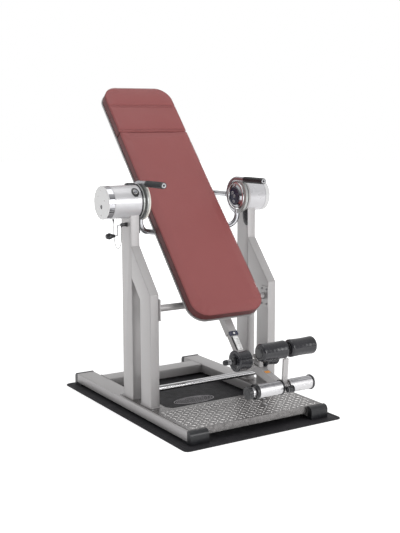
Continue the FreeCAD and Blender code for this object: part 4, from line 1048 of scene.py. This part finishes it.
def make_hub_trim():
    at_axis = Matrix.Translation(AXIS)
    rim = rounded_profile(-0.2905, -0.2815, 0.0860, 0.0945, 0.0030)
    lathe("drive_disc_rim", rim, at_axis, "table", "cream", 96)
    dish = [(0.2836, 0.0602), (0.2790, 0.0612), (0.2782, 0.0640), (0.2800, 0.0700), (0.2836, 0.0760)]
    lathe("idler_dish", dish, at_axis, "table", "chrome", 96)
    gasket = rounded_profile(-0.3230, -0.3170, 0.0810, 0.0862, 0.0015)
    lathe("motor_drum_gasket", gasket, at_axis, "base", "rubber", 96)
    seam = [(0.4172, 0.0812), (0.4172, 0.08225), (0.4190, 0.08225), (0.4190, 0.0812)]
    lathe("control_cap_seam", seam, at_axis, "base", "grey", 96)
    seam = [(-0.4705, 0.0805), (-0.4705, 0.08235), (-0.4672, 0.08265), (-0.4660, 0.0822), (-0.4660, 0.0805)]
    lathe("motor_shell_bead", seam, at_axis, "base", "pearl", 96)
    port = [(-0.5062, 0.0070), (-0.5068, 0.0078), (-0.5068, 0.0092), (-0.5056, 0.0098), (-0.5050, 0.0070)]
    lathe("crank_port_rim", port, Matrix.Translation(AXIS + Vector((0, 0, -0.020))), "base", "plastic",
          32)
    for number, (y, z) in enumerate(((0.034, 0.030), (-0.034, 0.012), (0.004, 0.058), (0.002, -0.062)),
                                    start=1):
        place = Matrix.Translation(AXIS + Vector((-0.5058, y, z))) @ Matrix.Rotation(math.pi, 4, "Z")
        screw = [(0.0, 0.0), (0.0, 0.0036), (0.0008, 0.0034), (0.0014, 0.0024), (0.0014, 0.0011),
                 (0.0006, 0.0010),
                 (0.0006, 0.0)]
        lathe("motor_cap_screw_%d" % number, screw, place, "base", "steel", 20, closed=False)
    ring = rounded_profile(0.2732, 0.2768, 0.0420, 0.0478, 0.0012, 3)
    lathe("dial_face_ring", ring, at_axis, "base", "blue", 72)
    for name in ("dial_button_up", "dial_button_down", "dial_button_stop"):
        low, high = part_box(name)
        middle = (low + high) / 2
        collar = [(0.2768, 0.0064), (0.2754, 0.0066), (0.2752, 0.0078), (0.2768, 0.0086)]
        lathe(name + "_surround", collar, Matrix.Translation((0, middle.y, middle.z)), "base", "white",
              32)


def make_switch_trim():
    """Metal ring round the start button, set square to the drum."""
    middle = middle_of("start_button")
    out = Vector((0, middle.y - AXIS.y, middle.z - AXIS.z)).normalized()
    turn = Vector((1, 0, 0)).rotation_difference(out).to_matrix().to_4x4()
    reach = (Vector((0, middle.y, middle.z)) - Vector((0, AXIS.y, AXIS.z))).length
    place = Matrix.Translation(middle - out * reach) @ turn
    outer = 0.082
    ring = [(outer + 0.0034, 0.0094), (outer + 0.0052, 0.0098), (outer + 0.0056, 0.0112),
            (outer + 0.0044, 0.0126),
            (outer + 0.0030, 0.0128)]
    lathe("start_button_ring", ring, place, "base", "steel", 40)


def make_grip_ends():
    for side in ("left", "right"):
        low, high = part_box("grip_" + side)
        middle = (low + high) / 2
        place = Matrix.Translation((middle.x, low.y, middle.z)) @ Matrix.Rotation(math.pi / 2, 4, "Z")
        plug = [(0.003, 0.0045), (-0.0006, 0.0048), (-0.0016, 0.0060), (-0.0016, 0.0100), (-0.0006, 0.0122),
                (0.003, 0.0125)]
        lathe("grip_end_" + side, plug, place, "table", "gear", 40)
        ribs = []
        for number in range(26):
            along = 0.010 + number * 0.0056
            ring = [place @ Vector((along, 0.01545 * math.cos(2 * math.pi * step / 40),
                                    0.01545 * math.sin(2 * math.pi * step / 40))) for step in range(40)]
            ribs.append(tube_mesh("rib", ring, 0.0006, 6, closed=True))
        add_piece("grip_ribs_" + side, join_meshes("grip_ribs_" + side, ribs), "table", "grip")


def make_frame_welds():
    """Weld beads where the crossmember meets the rails and the front posts meet the rear posts."""
    beads = []
    low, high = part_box("rear_crossmember")
    for x in (low.x, high.x):
        way = 0.0006 if x < 0 else -0.0006
        path = [Vector((x + way, low.y + (high.y - low.y) * step / 40, high.z)) for step in range(41)]
        beads.append(tube_mesh("bead", path, 0.0026, 8, wobble=0.35, ripple=0.10))
        path = [Vector((x + way, low.y, low.z + (high.z - low.z) * step / 22)) for step in range(23)]
        beads.append(tube_mesh("bead", path, 0.0026, 8, wobble=0.35, ripple=0.10))
    for side in (-1, 1):
        for face in (0.324, 0.374):
            path = [Vector((side * (face - (0.0012 if face > 0.35 else -0.0012)), -0.0512,
                            0.700 + 0.140 * step / 60))
                    for step in range(61)]
            beads.append(tube_mesh("bead", path, 0.0020, 8, wobble=0.35, ripple=0.10))
    add_piece("frame_welds", join_meshes("frame_welds", beads), "base", "silver")


def make_yoke_welds():
    """Beads where the yoke pipes run into the hub discs."""
    beads = []
    for side in (-1, 1):
        for place in (Matrix.Translation(AXIS + Vector((side * 0.291, 0.092,
                                                        0.003))) @ Matrix.Rotation(math.pi / 2, 4, "X"),
                      Matrix.Translation(AXIS + Vector((side * 0.291, 0.004, -0.089)))):
            ring = [place @ Vector((0.0145 * math.cos(2 * math.pi * step / 36),
                                    0.0145 * math.sin(2 * math.pi * step / 36), 0))
                    for step in range(36)]
            beads.append(tube_mesh("bead", ring, 0.0022, 8, closed=True, wobble=0.3, ripple=0.1))
    add_piece("hub_welds", join_meshes("hub_welds", beads), "table", "pipe")


# ---------------------------------------------------------------- light and floor
def make_floor():
    """A pale floor with painted light: it glows, more strongly away from the machine, so it runs into the white
    behind it.
    """
    bpy.ops.mesh.primitive_circle_add(vertices=96, radius=30, fill_type="NGON")
    floor = bpy.context.active_object
    floor.name = "studio_floor"
    made = Shader("studio_floor", (0.80, 0.80, 0.80), 0.9)
    made.shader.inputs["Specular IOR Level"].default_value = 0.1
    away = made.tree.nodes.new("ShaderNodeVectorMath")
    away.operation = "LENGTH"
    made.tree.links.new(made.place, away.inputs[0])
    # Emission: painted light, dimmer near the machine.
    glow = made.ramp(away.outputs["Value"], 1.2, 4.0, 0.50, 0.95)
    made.shader.inputs["Emission Color"].default_value = (1, 1, 1, 1)
    made.tree.links.new(glow, made.shader.inputs["Emission Strength"])
    floor.data.materials.append(made.material)
    floor.location.z = -0.0005


def make_world():
    """White to the eye; a studio to everything that reflects it, bright overhead and behind, dim by the camera."""
    world = bpy.data.worlds.new("studio")
    bpy.context.scene.world = world
    world.use_nodes = True
    tree = world.node_tree
    shade = tree.nodes["Background"]
    place = tree.nodes.new("ShaderNodeTexCoord")
    facing = tree.nodes.new("ShaderNodeVectorMath")
    facing.operation = "DOT_PRODUCT"
    tree.links.new(place.outputs["Generated"], facing.inputs[0])
    facing.inputs[1].default_value = (0.30, 0.62, 0.72)
    ramp = tree.nodes.new("ShaderNodeValToRGB")
    spread = tree.nodes.new("ShaderNodeMapRange")
    tree.links.new(facing.outputs["Value"], spread.inputs["Value"])
    spread.inputs["From Min"].default_value = -1
    tree.links.new(spread.outputs["Result"], ramp.inputs["Fac"])
    ramp.color_ramp.elements[0].position = 0.30
    ramp.color_ramp.elements[0].color = (0.10, 0.10, 0.105, 1)
    ramp.color_ramp.elements[1].position = 0.72
    ramp.color_ramp.elements[1].color = (0.80, 0.80, 0.80, 1)
    seen = tree.nodes.new("ShaderNodeLightPath")
    mix = tree.nodes.new("ShaderNodeMix")
    mix.data_type = "RGBA"
    tree.links.new(seen.outputs["Is Camera Ray"], mix.inputs["Factor"])
    tree.links.new(ramp.outputs["Color"], mix.inputs[6])
    mix.inputs[7].default_value = (1, 1, 1, 1)
    tree.links.new(mix.outputs[2], shade.inputs["Color"])
    shade.inputs["Strength"].default_value = 1.0


def soft_box(name, location, target, width, height, power):
    data = bpy.data.lights.new(name, "AREA")
    data.shape = "RECTANGLE"
    data.size = width
    data.size_y = height
    data.energy = power
    light = bpy.data.objects.new(name, data)
    bpy.context.scene.collection.objects.link(light)
    light.location = location
    light.rotation_euler = (Vector(target) - Vector(location)).to_track_quat("-Z", "Y").to_euler()


def make_lights():
    soft_box("front_right", (1.3, -4.2, 1.7), (0, 0, 0.7), 1.6, 2.0, 72)
    soft_box("low_left", (-2.6, -2.6, 0.8), (0, -0.2, 0.6), 1.0, 1.4, 5)
    soft_box("top", (0.0, -0.2, 4.2), (0, 0, 0), 2.6, 2.6, 36)
    soft_box("left_strip", (-3.6, 0.6, 1.8), (0, 0, 0.9), 0.7, 2.4, 7)


bpy.context.scene.view_settings.view_transform = "Standard"
make_camera()
make_lead()
finish_cad_nodes()
make_cushions()
make_piping()
make_stitches()
make_cushion_back()
make_mat()
make_lozenges()
make_frame_tubes()
make_post_welds()
make_frame_welds()
make_strain_relief()
make_rollers()
make_cups()
make_cup_axle()
make_foot_rest_trim()
make_lever_trim()
make_leg_labels()
make_hub_trim()
black_half_oval("post_black_oval_left", -1)
black_half_oval("post_black_oval_right", 1)
make_switch_trim()
make_grip_ends()
make_yoke_welds()
make_floor()
make_world()
make_lights()
